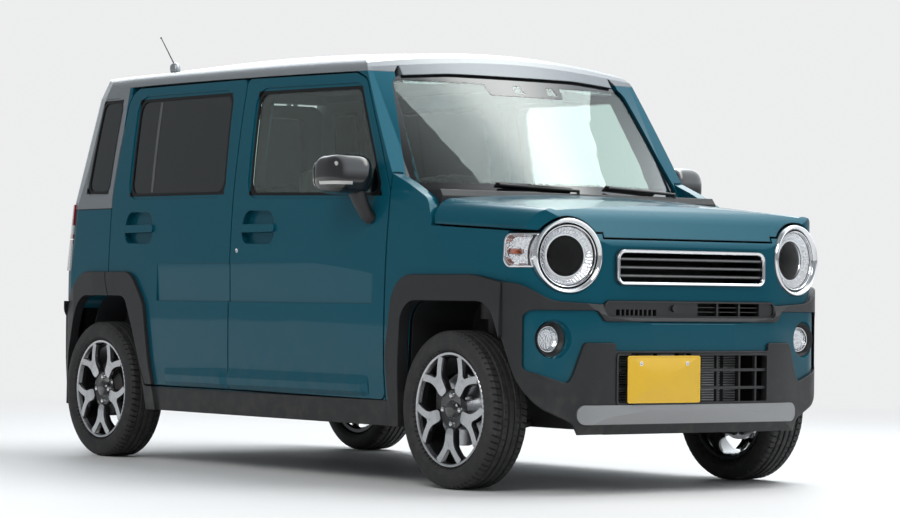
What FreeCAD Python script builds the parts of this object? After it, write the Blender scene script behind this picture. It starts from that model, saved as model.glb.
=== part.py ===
"""Kei car: a small tall five-door car, as separate panels, glass, lamps, seats and running gear.

Millimetres. +X is forward, +Y is the car's left, +Z is up. The origin is on the ground under the middle
of the car's length and width.
"""
import FreeCAD, Part
import math
import os
from FreeCAD import Vector

# Overall sizes
LENGTH = 3395.0
WIDTH = 1475.0
AXLE_FRONT_X = 1192.0
WHEELBASE = 2460.0
TRACK = 1296.0

# Wheels
TYRE_RADIUS = 280.0
TYRE_WIDTH = 165.0
RIM_RADIUS = 206.0
HUB_RADIUS = 66.0
LUG_CIRCLE = 100.0
DISC_RADIUS = 128.0
DRUM_RADIUS = 112.0

# Levels above the ground
SILL_BOTTOM_Z = 208.0
DOOR_BOTTOM_Z = 306.0
LEDGE_Z = 650.0
BELT_Z = 1062.0
HOOD_CUT_Z = 930.0
ROOF_SEAM_Z = 1522.0
FLOOR_Z = 262.0
CROWN_Z = 1650.0
GATE_TOP_Z = 1516.0

# Walls, gaps and clearances
PANEL_GAP = 7.0
DOOR_THICKNESS = 60.0
DOOR_SEAT = 20.0
PILLAR_THICKNESS = 26.0
ROOF_THICKNESS = 34.0
GLASS_THICKNESS = 5.0
GLASS_INSET = 9.0
FIT = 0.3

HALF_LENGTH = LENGTH / 2
HALF_WIDTH = WIDTH / 2
AXLE_REAR_X = AXLE_FRONT_X - WHEELBASE
WHEEL_Y = TRACK / 2
AXLE_Z = TYRE_RADIUS
SIDES = {"right": -1, "left": 1}
DIRECTIONS = {"x": Vector(1, 0, 0), "y": Vector(0, 1, 0), "z": Vector(0, 0, 1)}

parts = {}


def flat(u, v, axis):
    """A point of an outline drawn across the named axis: (y, z) for x, (x, z) for y, (x, y) for z."""
    return {"x": Vector(0, u, v), "y": Vector(u, 0, v), "z": Vector(u, v, 0)}[axis]


def outline(corners, axis):
    """A closed wire through corners (u, v, radius), each corner rounded by an arc of its radius."""
    count = len(corners)
    spans = []
    for i, (u, v, radius) in enumerate(corners):
        here = flat(u, v, axis)
        before = flat(*corners[i - 1][:2], axis) - here
        after = flat(*corners[(i + 1) % count][:2], axis) - here
        if radius <= 0:
            spans.append((here, here, None))
            continue
        half_turn = (math.pi - before.getAngle(after)) / 2
        reach = min(radius * math.tan(half_turn), 0.49 * before.Length, 0.49 * after.Length)
        true_radius = reach / math.tan(half_turn)
        start = here + before * (reach / before.Length)
        end = here + after * (reach / after.Length)
        middle = before / before.Length + after / after.Length
        depth = true_radius / math.cos(half_turn) - true_radius
        spans.append((start, end, here + middle * (depth / middle.Length)))
    edges = []
    for i, (start, end, middle) in enumerate(spans):
        if middle is not None:
            edges.append(Part.Arc(start, middle, end).toShape())
        following = spans[(i + 1) % count][0]
        if (following - end).Length > 1e-4:
            edges.append(Part.makeLine(end, following))
    return Part.Wire(edges)


def prism(corners, axis, low, high):
    """A solid with a rounded outline, from low to high along the named axis."""
    direction = DIRECTIONS[axis]
    face = Part.Face(outline(corners, axis))
    face.translate(direction * low)
    return face.extrude(direction * (high - low))


def grown(corners, distance):
    """The outline moved outwards by distance, corner by corner."""
    count = len(corners)
    area = sum(corners[i - 1][0] * corners[i][1] - corners[i][0] * corners[i - 1][1] for i in range(count))
    turn = 1 if area > 0 else -1
    moved = []
    for i, (u, v, radius) in enumerate(corners):
        before = Vector(u - corners[i - 1][0], v - corners[i - 1][1], 0).normalize()
        following = corners[(i + 1) % count]
        after = Vector(following[0] - u, following[1] - v, 0).normalize()
        side = Vector(before.y + after.y, -before.x - after.x, 0) * turn
        reach = distance / (1 + before.dot(after))
        moved.append((u + side.x * reach, v + side.y * reach, max(radius + distance, 0) if radius else 0))
    return moved


def both_sides(right_corners):
    """An outline in plan, (x, y), completed with its mirror image on the car's left."""
    return right_corners + [(x, -y, radius) for x, y, radius in reversed(right_corners)]


def across(right_corners):
    """An outline in front view, (y, z), completed with its mirror image on the car's left."""
    return right_corners + [(-y, z, radius) for y, z, radius in reversed(right_corners)]


def box(x, y, z):
    """A block from three (low, high) pairs."""
    return Part.makeBox(x[1] - x[0], y[1] - y[0], z[1] - z[0], Vector(x[0], y[0], z[0]))


def cylinder(radius, start, end):
    axis = Vector(*end) - Vector(*start)
    return Part.makeCylinder(radius, axis.Length, Vector(*start), axis)


def spun(corners, centre):
    """A solid turned about a wheel's axis through centre, from an outline of (outwards, radius, fillet)."""
    face = Part.Face(outline([(radius, -out, fillet) for out, radius, fillet in corners], "z"))
    whole = face.revolve(Vector(0, 0, 0), Vector(0, 1, 0), 360)
    whole.translate(Vector(*centre))
    return whole


def mirrored(shape):
    """The same piece on the other side of the car."""
    return shape.mirror(Vector(0, 0, 0), Vector(0, 1, 0))


def fuse(shapes):
    return shapes[0].fuse(shapes[1:]).removeSplitter() if len(shapes) > 1 else shapes[0]


def rod(points, radius):
    """A round rod through the points, with balls at the bends."""
    pieces = [cylinder(radius, a, b) for a, b in zip(points, points[1:])]
    pieces += [Part.makeSphere(radius, Vector(*p)) for p in points[1:-1]]
    return fuse(pieces)


def main_solid(shape):
    """The largest solid of a cut, without crumbs."""
    return max(shape.Solids, key=lambda piece: piece.Volume)


def add_pair(name, shape):
    """A right-hand piece and its mirror image, each a node of its own."""
    parts[name + "_right"] = shape
    parts[name + "_left"] = mirrored(shape)


# Body sections, front to back: x, half widths low, at the belt and at the roof seam, seam height,
# half width and height of the roof's shoulder, height of the crown.
BODY_SECTIONS = [
    (1760.0, 676.0, 606.0, 560.0, 1440.0, 500.0, 1470.0, 1490.0),
    (1180.0, 712.0, 680.0, 612.0, 1490.0, 530.0, 1526.0, 1556.0),
    (520.0, 719.0, 701.0, 636.0, 1514.0, 556.0, 1566.0, 1606.0),
    (-300.0, 722.0, 706.0, 641.0, 1528.0, 562.0, 1582.0, CROWN_Z),
    (-1100.0, 716.0, 701.0, 636.0, 1534.0, 556.0, 1588.0, 1642.0),
    (-1760.0, 700.0, 680.0, 614.0, 1524.0, 530.0, 1576.0, 1596.0),
]


# The walls tuck under below this height by so much for each millimetre
TUCK_Z = 400.0
SILL_SLOPE = 1 / 12


def side_points(section, inset, bottom):
    """The right-hand side of a section, from the sill to the roof seam, inset from the skin."""
    x, low, belt, seam, seam_z = section[:5]
    middle = (belt + seam) / 2 + 5
    heights = [
        (low - SILL_SLOPE * (TUCK_Z - bottom), bottom),
        (low, TUCK_Z),
        (low + 2, 640.0),
        (belt, BELT_Z),
        (middle, (BELT_Z + seam_z) / 2),
        (seam, seam_z),
    ]
    return [Vector(x, inset - y, z) for y, z in heights]


def side_wall(near, far, bottom=SILL_BOTTOM_Z):
    """The right-hand wall between two insets from the skin, from the sill to the roof seam."""
    wires = []
    for section in BODY_SECTIONS:
        a, b = side_points(section, near, bottom), side_points(section, far, bottom)
        wires.append(Part.Wire([
            Part.makeLine(a[0], a[1]),
            Part.Arc(a[1], a[2], a[3]).toShape(),
            Part.Arc(a[3], a[4], a[5]).toShape(),
            Part.makeLine(a[5], b[5]),
            Part.Arc(b[5], b[4], b[3]).toShape(),
            Part.Arc(b[3], b[2], b[1]).toShape(),
            Part.makeLine(b[1], b[0]),
            Part.makeLine(b[0], a[0]),
        ]))
    return Part.makeLoft(wires, True, False)


def roof_shell(thickness, rim):
    """The roof from seam to seam: thin in the middle, with a rim along each side that sits on the rails."""
    wires = []
    for x, low, belt, seam, seam_z, edge, edge_z, crown in BODY_SECTIONS:
        bend_y, bend_z = (seam + edge) / 2 + 14, (seam_z + edge_z) / 2 + 11
        inner_y, inner_z = edge - rim * 0.45, edge_z - thickness + 6
        wires.append(Part.Wire([
            Part.Arc(Vector(x, -seam, seam_z), Vector(x, -bend_y, bend_z),
                     Vector(x, -edge, edge_z)).toShape(),
            Part.Arc(Vector(x, -edge, edge_z), Vector(x, 0, crown), Vector(x, edge, edge_z)).toShape(),
            Part.Arc(Vector(x, edge, edge_z), Vector(x, bend_y, bend_z), Vector(x, seam, seam_z)).toShape(),
            Part.makeLine(Vector(x, seam, seam_z), Vector(x, seam - rim, seam_z)),
            Part.makeLine(Vector(x, seam - rim, seam_z), Vector(x, inner_y, inner_z)),
            Part.Arc(Vector(x, inner_y, inner_z), Vector(x, 0, crown - thickness),
                     Vector(x, -inner_y, inner_z)).toShape(),
            Part.makeLine(Vector(x, -inner_y, inner_z), Vector(x, rim - seam, seam_z)),
            Part.makeLine(Vector(x, rim - seam, seam_z), Vector(x, -seam, seam_z)),
        ]))
    return Part.makeLoft(wires, True, False)


# Tail: height, x of the middle, half width at the corner
TAIL_LEVELS = [
    (150.0, -1668.0, 712.0),
    (760.0, -1668.0, 708.0),
    (1060.0, -1645.0, 690.0),
    (1500.0, -1550.0, 626.0),
    (1700.0, -1455.0, 575.0),
]
TAIL_CORNER = 105.0


def tail_form(inset):
    """Everything ahead of the tail's surface, or of the surface that lies inset ahead of it."""
    wires = []
    for z, middle, half in TAIL_LEVELS:
        back = middle + inset
        corner = half - inset
        wire = outline([
            (back, 0.0, 0),
            (back + 22, -corner + 30, TAIL_CORNER),
            (back + 160, -corner - 8, 60),
            (1800.0, -corner - 220, 0),
            (1800.0, corner + 220, 0),
            (back + 160, corner + 8, 60),
            (back + 22, corner - 30, TAIL_CORNER),
        ], "z")
        wire.translate(Vector(0, 0, z))
        wires.append(wire)
    return Part.makeLoft(wires, True, True)


# Windscreen: height, x of its middle, how far its arc has fallen back where the glass ends
SCREEN_LEVELS = [(960.0, 1118.0, 209.0), (1700.0, 454.0, 22.5)]
SCREEN_SLOPE = 1.344
SCREEN_REACH = 615.0
PILLAR_REACH = 800.0
PILLAR_FALL = 25.0


def screen_line(level, inset):
    """The windscreen's line at one level: an arc over the glass, run on flatter over the pillars."""
    z, middle, fall = level
    x = middle - inset * SCREEN_SLOPE
    left, right = [Vector(x - fall, side * SCREEN_REACH, z) for side in (1, -1)]
    far_left, far_right = [Vector(x - fall - PILLAR_FALL, side * PILLAR_REACH, z) for side in (1, -1)]
    edges = [Part.makeLine(far_left, left), Part.Arc(left, Vector(x, 0, z), right).toShape(),
             Part.makeLine(right, far_right)]
    return edges, far_left, far_right


def screen_space(inset):
    """Everything ahead of and above the windscreen's surface moved inwards by inset."""
    wires = []
    for level in SCREEN_LEVELS:
        edges, left, right = screen_line(level, inset)
        front_right, front_left = Vector(2400, -PILLAR_REACH, level[0]), Vector(2400, PILLAR_REACH, level[0])
        wires.append(Part.Wire(edges + [Part.makeLine(right, front_right), Part.makeLine(front_right, front_left),
                                        Part.makeLine(front_left, left)]))
    return Part.makeLoft(wires, True, True)


# Front end: x, half width and height of the shoulder's foot, heights of the shoulder and of the crown
HOOD_SECTIONS = [
    (700.0, 702.0, 956.0, 1066.0, 1088.0),
    (1040.0, 691.0, 934.0, 1034.0, 1058.0),
    (1320.0, 675.0, 924.0, 1008.0, 1032.0),
    (1760.0, 636.0, 902.0, 962.0, 980.0),
]


def hood_form(inset):
    """Everything below the hood's surface, or below the surface that lies inset under it."""
    wires = []
    for x, foot_y, foot, shoulder, crown in HOOD_SECTIONS:
        half = [
            (900.0, 150.0),
            (900.0, foot - 20),
            (foot_y - inset, foot),
            (foot_y - 16 - inset * 0.85, (foot + shoulder) / 2 + 16 - inset * 0.5),
            (foot_y - 88 - inset * 0.6, shoulder - inset),
        ]
        r = [Vector(x, -y, z) for y, z in half]
        q = [Vector(x, y, z) for y, z in half]
        wires.append(Part.Wire([
            Part.makeLine(q[0], r[0]),
            Part.makeLine(r[0], r[1]),
            Part.makeLine(r[1], r[2]),
            Part.Arc(r[2], r[3], r[4]).toShape(),
            Part.Arc(r[4], Vector(x, 0, crown - inset), q[4]).toShape(),
            Part.Arc(q[4], q[3], q[2]).toShape(),
            Part.makeLine(q[2], q[1]),
            Part.makeLine(q[1], q[0]),
        ]))
    return Part.makeLoft(wires, True, False)


# Nose in plan and in side view
NOSE_X = 1660.0
NOSE_PLAN = [(700.0, -900.0, 0), (1000.0, -748.0, 0), (1594.0, -668.0, 150), (NOSE_X - 8, -400.0, 500)]
NOSE_PROFILE = [
    (700.0, 150.0, 0),
    (NOSE_X - 10, 150.0, 0),
    (NOSE_X, 700.0, 300),
    (NOSE_X - 8, 868.0, 100),
    (NOSE_X - 50, 975.0, 90),
    (NOSE_X - 260, 1100.0, 0),
    (700.0, 1200.0, 0),
]


def nose_form(inset):
    """Everything behind the nose's surface, in plan and in side view, or the form inset inside it."""
    plan = [(x - inset * (x > 1500), y + inset * (abs(y) < 700), radius) for x, y, radius in NOSE_PLAN]
    profile = [(x - inset * (x > 1300), z, radius) for x, z, radius in NOSE_PROFILE]
    return prism(both_sides(plan), "z", 100, 1300).common(prism(profile, "y", -900, 900))


# Side view of the cowl and of the fender's rear top, which run on ahead of the windscreen's foot
COWL_X = 1053.0
COWL_PROFILE = [
    (COWL_X, 150.0, 0),
    (COWL_X, 950.0, 60),
    (1020.0, 1030.0, 60),
    (897.0, 1086.0, 300),
    (780.0, 1130.0, 0),
    (700.0, 1130.0, 0),
    (700.0, 150.0, 0),
]

OUTSIDE = 1000.0


def side_cut(corners, near=300.0):
    """The space beside the car on the right within an outline in side view."""
    return prism(corners, "y", -OUTSIDE, -near)


# Door outlines and windows in side view: x, z, corner radius
DOOR_SPLIT_X = -262.0
FRONT_DOOR = [
    (DOOR_SPLIT_X + PANEL_GAP / 2, DOOR_BOTTOM_Z + 4, 30),
    (788.0, DOOR_BOTTOM_Z - 4, 30),
    (789.0, 1058.0, 90),
    (698.0, 1240.0, 300),
    (554.0, 1482.0, 50),
    (484.0, ROOF_SEAM_Z - 14, 30),
    (DOOR_SPLIT_X + PANEL_GAP / 2, ROOF_SEAM_Z - 1, 25),
]
REAR_DOOR = [
    (DOOR_SPLIT_X - PANEL_GAP / 2, DOOR_BOTTOM_Z + 4, 30),
    (DOOR_SPLIT_X - PANEL_GAP / 2, ROOF_SEAM_Z - 1, 25),
    (-1165.0, ROOF_SEAM_Z + 3, 90),
    (-1214.0, 1100.0, 300),
    (-1214.0, 740.0, 60),
    (-1186.0, 669.0, 10),
    (-1050.0, 669.0, 60),
    (-984.0, 540.0, 60),
    (-886.0, DOOR_BOTTOM_Z + 4, 15),
]
FRONT_WINDOW = [
    (-140.0, 1074.0, 45),
    (726.0, 1056.0, 30),
    (655.0, 1200.0, 200),
    (520.0, 1447.0, 55),
    (-156.0, 1457.0, 45),
]
REAR_WINDOW = [
    (-346.0, 1082.0, 45),
    (-369.0, 1462.0, 45),
    (-1071.0, 1466.0, 45),
    (-1062.0, 1087.0, 45),
]
QUARTER_WINDOW = [
    (-1268.0, 1102.0, 35),
    (-1239.0, 1474.0, 35),
    (-1390.0, 1474.0, 35),
    (-1440.0, 1106.0, 35),
]

# Wheel arches in side view: the opening, and the outer edge of the flare round it
FRONT_ARCH = [
    (876.0, 100.0, 0),
    (914.0, 664.0, 90),
    (1425.0, 664.0, 110),
    (1545.0, 390.0, 300),
    (1640.0, 247.0, 60),
    (1660.0, 100.0, 0),
]
REAR_ARCH = [
    (-1590.0, 100.0, 0),
    (-1575.0, 420.0, 200),
    (-1455.0, 669.0, 120),
    (-1050.0, 669.0, 120),
    (-922.0, 400.0, 100),
    (-870.0, 100.0, 0),
]
FRONT_FLARE = [
    (836.0, 100.0, 0),
    (822.0, 480.0, 300),
    (868.0, 756.0, 120),
    (1330.0, 756.0, 400),
    (1596.0, 708.0, 60),
    (1800.0, 100.0, 0),
]
REAR_FLARE = [
    (-1700.0, 100.0, 0),
    (-1660.0, 560.0, 60),
    (-1540.0, 690.0, 200),
    (-1420.0, 767.0, 120),
    (-1010.0, 767.0, 120),
    (-900.0, 640.0, 120),
    (-796.0, 100.0, 0),
]
GATE_OUTLINE = [(-584.0, 650.0, 40), (-582.0, 1062.0, 300), (-514.0, GATE_TOP_Z, 60)]
FLARE_FRONT_X = 1480.0
NOSE_SEAM_X = FLARE_FRONT_X
SILL_TOP_Z = 300.0
CLADDING_DEPTH = 30.0
FENDER_THICKNESS = 45.0

SEAT_INSET = DOOR_THICKNESS + DOOR_SEAT
FRAME_INSET = SEAT_INSET + PILLAR_THICKNESS

front_arch = side_cut(FRONT_ARCH, 380)
rear_arch = side_cut(REAR_ARCH, 380)
skin_bevel = side_wall(-4, 5)

# Doors
LEDGE_DEPTH = 9.0
SWELL_TOP_Z = 389.0
SWELL_BOTTOM_Z = 309.0
SWELL_HEIGHT = 7.0
SWELLS = {
    "front": [(690.0, 0.0), (650.0, 1.0), (200.0, 1.0), (DOOR_SPLIT_X + PANEL_GAP / 2, 1.0)],
    "rear": [(DOOR_SPLIT_X - PANEL_GAP / 2 - 1, 0.0), (-315.0, 1.0), (-500.0, 1.0), (-745.0, 0.4)],
}
HANDLES = {"front": (-70.0, 934.0), "rear": (-978.0, 942.0)}


def ledge_cut():
    """What is taken off the door skins above the sharp ledge, fading out upwards."""
    low = side_points(BODY_SECTIONS[3], 0, 0)[2].y
    return prism([(-900.0, LEDGE_Z, 0), (-900.0, LEDGE_Z + 150, 0), (low + 6, LEDGE_Z + 150, 0),
                  (low + LEDGE_DEPTH, LEDGE_Z, 0)], "x", -812, 712)


def body_low(x):
    """Half width of the body at the foot of its walls, between its sections."""
    for (x0, low0), (x1, low1) in zip([s[:2] for s in BODY_SECTIONS], [s[:2] for s in BODY_SECTIONS[1:]]):
        if x1 <= x <= x0:
            return low1 + (low0 - low1) * (x - x1) / (x0 - x1)
    return BODY_SECTIONS[0][1]


def swell(stations):
    """The raised lower band of a door: (x, share of its height) from front to back."""
    wires = []
    for x, share in stations:
        skin = body_low(x) + 0.3
        band = [(skin - 12, SWELL_TOP_Z), (skin - 0.8, SWELL_TOP_Z), (skin + SWELL_HEIGHT * share, SWELL_TOP_Z - 35),
                (skin - 3 + SWELL_HEIGHT * share, SWELL_TOP_Z - 62), (skin - 8, SWELL_BOTTOM_Z),
                (skin - 20, SWELL_BOTTOM_Z)]
        corners = [Vector(x, -y, z) for y, z in band]
        wires.append(Part.makePolygon(corners + corners[:1]))
    return Part.makeLoft(wires, True, True)


def handle_dish(x, z):
    """The hollow behind a door's handle."""
    dish = [(x - 118, z - 58, 40), (x + 118, z - 62, 40), (x + 104, z + 66, 50), (x - 104, z + 70, 50)]
    return side_cut(dish).common(side_wall(-4, 26))


def handle_bar(x, z):
    """The pull that crosses the dish."""
    bar = [(x - 125, z - 16, 12), (x + 125, z - 14, 12), (x + 122, z + 16, 14), (x - 122, z + 16, 14)]
    return side_cut(bar).common(side_wall(-9, 9))


door_wall = side_wall(0, DOOR_THICKNESS)
glass_wall = side_wall(GLASS_INSET, GLASS_INSET + GLASS_THICKNESS)


# Hinge pins of the doors: how far behind the door's front edge, distance from the middle, and heights
HINGE_BEHIND = 36.0
HINGE_PIN_RADIUS = 4.0
HINGE_PIN_HALF = 40.0
HINGE_POCKET_HALF = 22.0
HINGE_ARM_HALF = 14.0
HINGE_BOSS_RADIUS = 5.5
HINGE_SKIN = 4.0
DOOR_HINGES = {
    "front": (788.0 - HINGE_BEHIND, -706.0, (470.0, 605.0)),
    "rear": (DOOR_SPLIT_X - PANEL_GAP / 2 - HINGE_BEHIND, -709.0, (470.0, 605.0)),
}


def hinge_pocket(x, y, z):
    """What a door leaves free round one hinge: the arm's pocket and the pin's hole."""
    pocket = box((x - 12, x + HINGE_BEHIND + 5), (-OUTSIDE, -600), (z - HINGE_POCKET_HALF, z + HINGE_POCKET_HALF))
    hole = cylinder(HINGE_PIN_RADIUS + FIT, (x, y, z - HINGE_PIN_HALF - FIT), (x, y, z + HINGE_PIN_HALF + FIT))
    return pocket.common(side_wall(HINGE_SKIN, DOOR_THICKNESS + 5)).fuse(hole)


def hinge_arm(x, y, z):
    """The fixed half of one door hinge: a pin, and an arm that reaches inwards to the pillar."""
    arm = box((x - 6, x + 6), (y, -638.0 + DOOR_SEAT - 4), (z - HINGE_ARM_HALF, z + HINGE_ARM_HALF))
    boss = cylinder(HINGE_BOSS_RADIUS, (x, y, z - HINGE_ARM_HALF), (x, y, z + HINGE_ARM_HALF))
    pin = cylinder(HINGE_PIN_RADIUS, (x, y, z - HINGE_PIN_HALF), (x, y, z + HINGE_PIN_HALF))
    return arm.fuse([boss, pin])


def door(corners, window, handle, hinge, band):
    panel = door_wall.common(side_cut(corners)).cut(side_cut(window)).fuse(swell(band))
    panel = panel.cut(skin_bevel.common(side_cut(grown(window, 24)))).cut(ledge_cut())
    panel = panel.cut(handle_dish(*handle)).fuse(handle_bar(*handle))
    x, y, heights = hinge
    return main_solid(panel.cut([hinge_pocket(x, y, z) for z in heights]))


def pane(window):
    """A window's glass, a hair smaller than its opening."""
    return main_solid(glass_wall.common(side_cut(grown(window, -FIT))))


flare_wall = side_wall(-16, CLADDING_DEPTH)
front_door = door(FRONT_DOOR, FRONT_WINDOW, HANDLES["front"], DOOR_HINGES["front"], SWELLS["front"])
rear_door = door(REAR_DOOR, REAR_WINDOW, HANDLES["rear"], DOOR_HINGES["rear"], SWELLS["rear"])
rear_flare = flare_wall.common(side_cut(REAR_FLARE)).cut(rear_arch).common(tail_form(0))
door_flare = main_solid(rear_flare.common(side_cut(REAR_DOOR)))
rear_door = main_solid(rear_door.cut(side_wall(-20, CLADDING_DEPTH + FIT).common(side_cut(REAR_FLARE))))
add_pair("door_front", front_door)
add_pair("door_rear", rear_door)
add_pair("door_flare", door_flare)
add_pair("glass_front", pane(FRONT_WINDOW))
add_pair("glass_rear", pane(REAR_WINDOW))
quarter = pane(QUARTER_WINDOW)
parts["quarter_glasses"] = Part.Compound([quarter, mirrored(quarter)])

# Sides of the body: sill, pillars and rear quarter of each side, with the door openings through them
GLASS_OUTLINE = [(-640.0, 1064.0, 40), (-634.0, 1120.0, 60), (-548.0, 1496.0, 60), (-300.0, 1514.0, 900)]
full_wall = side_wall(0, FRAME_INSET, SILL_BOTTOM_Z - 20)
door_space = side_wall(-30, SEAT_INSET, SILL_BOTTOM_Z - 20)
pockets = fuse([side_cut(grown(FRONT_DOOR, PANEL_GAP)), side_cut(grown(REAR_DOOR, PANEL_GAP)),
                box((DOOR_SPLIT_X - 60, DOOR_SPLIT_X + 60), (-OUTSIDE, -300), (DOOR_BOTTOM_Z - 2, 1600)),
                box((-1166, 470), (-OUTSIDE, -300), (ROOF_SEAM_Z - 20, 1600))])
screen_bed = screen_space(GLASS_INSET + GLASS_THICKNESS + FIT).common(
    prism(grown(across(GLASS_OUTLINE), 2), "x", 300, 1300))
FRAME_FRONT_X = 884.0
frame = full_wall.cut(door_space.common(pockets))
frame = frame.cut(side_cut(grown(FRONT_DOOR, -48))).cut(side_cut(grown(REAR_DOOR, -48)))
quarter_bevel = skin_bevel.common(side_cut(grown(QUARTER_WINDOW, 20)))
frame = frame.cut(rear_arch).cut(side_cut(QUARTER_WINDOW)).cut(quarter_bevel)
frame = frame.cut(screen_space(0).cut(prism(COWL_PROFILE, "y", -OUTSIDE, OUTSIDE))).cut(screen_bed)
frame = frame.common(tail_form(0)).common(box((-1800, FRAME_FRONT_X), (-OUTSIDE, 0), (SILL_BOTTOM_Z, 1700)))
fender_space = side_wall(-30, FENDER_THICKNESS + FIT).common(box((790, 1800), (-OUTSIDE, 0), (0, 1140)))
fender_space = fender_space.common(prism(grown(COWL_PROFILE, 3), "y", -OUTSIDE, OUTSIDE))
sill_space = side_wall(-30, CLADDING_DEPTH + FIT, SILL_BOTTOM_Z - 20).common(
    fuse([box((-1800, 1800), (-OUTSIDE, 0), (0, SILL_TOP_Z)), side_cut(REAR_FLARE)]))
LAMP_ZONE = box((-1800, -1556), (-OUTSIDE, -598), (772, 1052))
REAR_BUMPER_ZONE = box((-1800, -1480), (-OUTSIDE, -300), (0, 646))
gate_space = prism(grown(across(GATE_OUTLINE), PANEL_GAP), "x", -1800, -1400)
for space in (fender_space, sill_space, LAMP_ZONE, REAR_BUMPER_ZONE, gate_space):
    frame = frame.cut(space)
frame = main_solid(frame)
frame = frame.fuse([hinge_arm(x, y, z) for x, y, heights in DOOR_HINGES.values() for z in heights])
frame = main_solid(frame)
parts["side_frames"] = Part.Compound([frame, mirrored(frame)])

# Tail lamps: two clusters one above the other at each rear corner
corner = side_wall(-4, FRAME_INSET - 2).common(tail_form(-6))
lamps = [main_solid(corner.common(box((-1800, -1556 - FIT), (-OUTSIDE, -598 - FIT), span)))
         for span in ((772 + FIT, 903), (907, 1052 - FIT))]
parts["tail_lamps"] = Part.Compound(lamps + [mirrored(lamp) for lamp in lamps])

# Cladding: flares and sill covers
front_flare = flare_wall.common(side_cut(FRONT_FLARE)).cut(front_arch).common(
    box((700, FLARE_FRONT_X), (-OUTSIDE, 0), (0, 800)))
sill_cover = side_wall(-4, CLADDING_DEPTH).common(box((-900, 880), (-OUTSIDE, 0), (0, SILL_TOP_Z - FIT)))
body_flare = rear_flare.cut(side_cut(grown(REAR_DOOR, PANEL_GAP)))
cladding = front_flare.fuse(sill_cover.cut(front_arch).cut(rear_arch)).fuse(body_flare).removeSplitter()
cladding_solids = [s for s in cladding.Solids if s.Volume > 1e5]
parts["body_cladding"] = Part.Compound(cladding_solids + [mirrored(s) for s in cladding_solids])

# Roof
roof = roof_shell(ROOF_THICKNESS, FRAME_INSET).cut(screen_space(0)).cut(screen_bed).common(tail_form(0))
HEADER_DEPTH = 60.0
header = roof_shell(ROOF_THICKNESS + 62, FRAME_INSET).common(tail_form(0)).cut(tail_form(HEADER_DEPTH)).common(
    box((-1800, -1300), (-514 - PANEL_GAP, 514 + PANEL_GAP), (GATE_TOP_Z + PANEL_GAP, 1700)))
front_header = roof_shell(ROOF_THICKNESS + 78, FRAME_INSET).cut(screen_space(0)).cut(screen_bed).common(
    screen_space(HEADER_DEPTH)).common(box((450, 700), (-500, 500), (1470, 1700)))
roof = main_solid(roof).fuse([main_solid(header), main_solid(front_header)]).removeSplitter()

# The roof's front edge is rounded by two bevels: x and height on the middle line, slope in degrees
ROOF_BEVELS = [(559.4, 1576.7, 33.5), (519.6, 1596.2, 18.9)]
BEVEL_RUN = 130.0
BEVEL_FALL = 30.0
BEVEL_DIP = 56.0


def roof_bevel(x, z, slope):
    """Everything above a sloping surface that follows the roof's crown and the windscreen's plan."""
    lines = []
    for side in (-1, 1):
        near_x = x + side * BEVEL_RUN * math.cos(math.radians(slope))
        near_z = z - side * BEVEL_RUN * math.sin(math.radians(slope))
        ends = [Vector(near_x - BEVEL_FALL, y, near_z - BEVEL_DIP) for y in (-700, 700)]
        lines.append(Part.Arc(ends[0], Vector(near_x, 0, near_z), ends[1]).toShape())
    return Part.makeRuledSurface(lines[0], lines[1]).extrude(Vector(0, 0, 300))


for bevel in ROOF_BEVELS:
    roof = roof.cut(roof_bevel(*bevel))
roof = main_solid(roof)

# Tailgate hinges: a pin with its web on the roof's edge, and a pair of ears on the gate, on each side
GATE_HINGE_X = -1537.0
GATE_HINGE_Y = 400.0
GATE_HINGE_Z = 1530.0
GATE_EAR_RADIUS = 8.0


def gate_rod(radius, near, far):
    """A rod on the tailgate's axis between two distances from its hinge's middle, on the right."""
    return cylinder(radius, (GATE_HINGE_X, near - GATE_HINGE_Y, GATE_HINGE_Z),
                    (GATE_HINGE_X, far - GATE_HINGE_Y, GATE_HINGE_Z))


gate_web = box((GATE_HINGE_X - 3, GATE_HINGE_X + 40), (-GATE_HINGE_Y - 8, -GATE_HINGE_Y + 8),
               (GATE_HINGE_Z - 3, GATE_HINGE_Z + 6))
gate_pin = fuse([gate_rod(HINGE_PIN_RADIUS, -26, 26), gate_rod(6.0, -8, 8), gate_web])
gate_pocket = gate_rod(14.0, -30, 30)
for pocket, pin in ((gate_pocket, gate_pin), (mirrored(gate_pocket), mirrored(gate_pin))):
    roof = roof.cut(pocket).fuse(pin)
parts["roof"] = main_solid(roof)
screen_wires = []
for level in SCREEN_LEVELS:
    near, near_left, near_right = screen_line(level, GLASS_INSET)
    far, far_left, far_right = screen_line(level, GLASS_INSET + GLASS_THICKNESS)
    screen_wires.append(Part.Wire(near + [Part.makeLine(near_right, far_right)] + far[::-1] +
                                  [Part.makeLine(far_left, near_left)]))
windshield = Part.makeLoft(screen_wires, True, True).common(prism(across(GLASS_OUTLINE), "x", 300, 1300))
parts["windshield"] = main_solid(windshield)

# Hood: skin with its rolled front edge, notched round the lamps
LAMP_X = 1632.0
LAMP_Y = 530.0
LAMP_Z = 823.0
LAMP_RADIUS = 131.0
LAMP_TURN = 12.5
HOOD_THICKNESS = 26.0
HOOD_LIP_Z = 889.0
HOOD_LIP_Y = 386.0


def along_lamp(forward):
    """A point on the right-hand lamp's axis, so far ahead of its rim."""
    turn = math.radians(LAMP_TURN)
    return (LAMP_X + forward * math.cos(turn), -LAMP_Y - forward * math.sin(turn), LAMP_Z)


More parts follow.
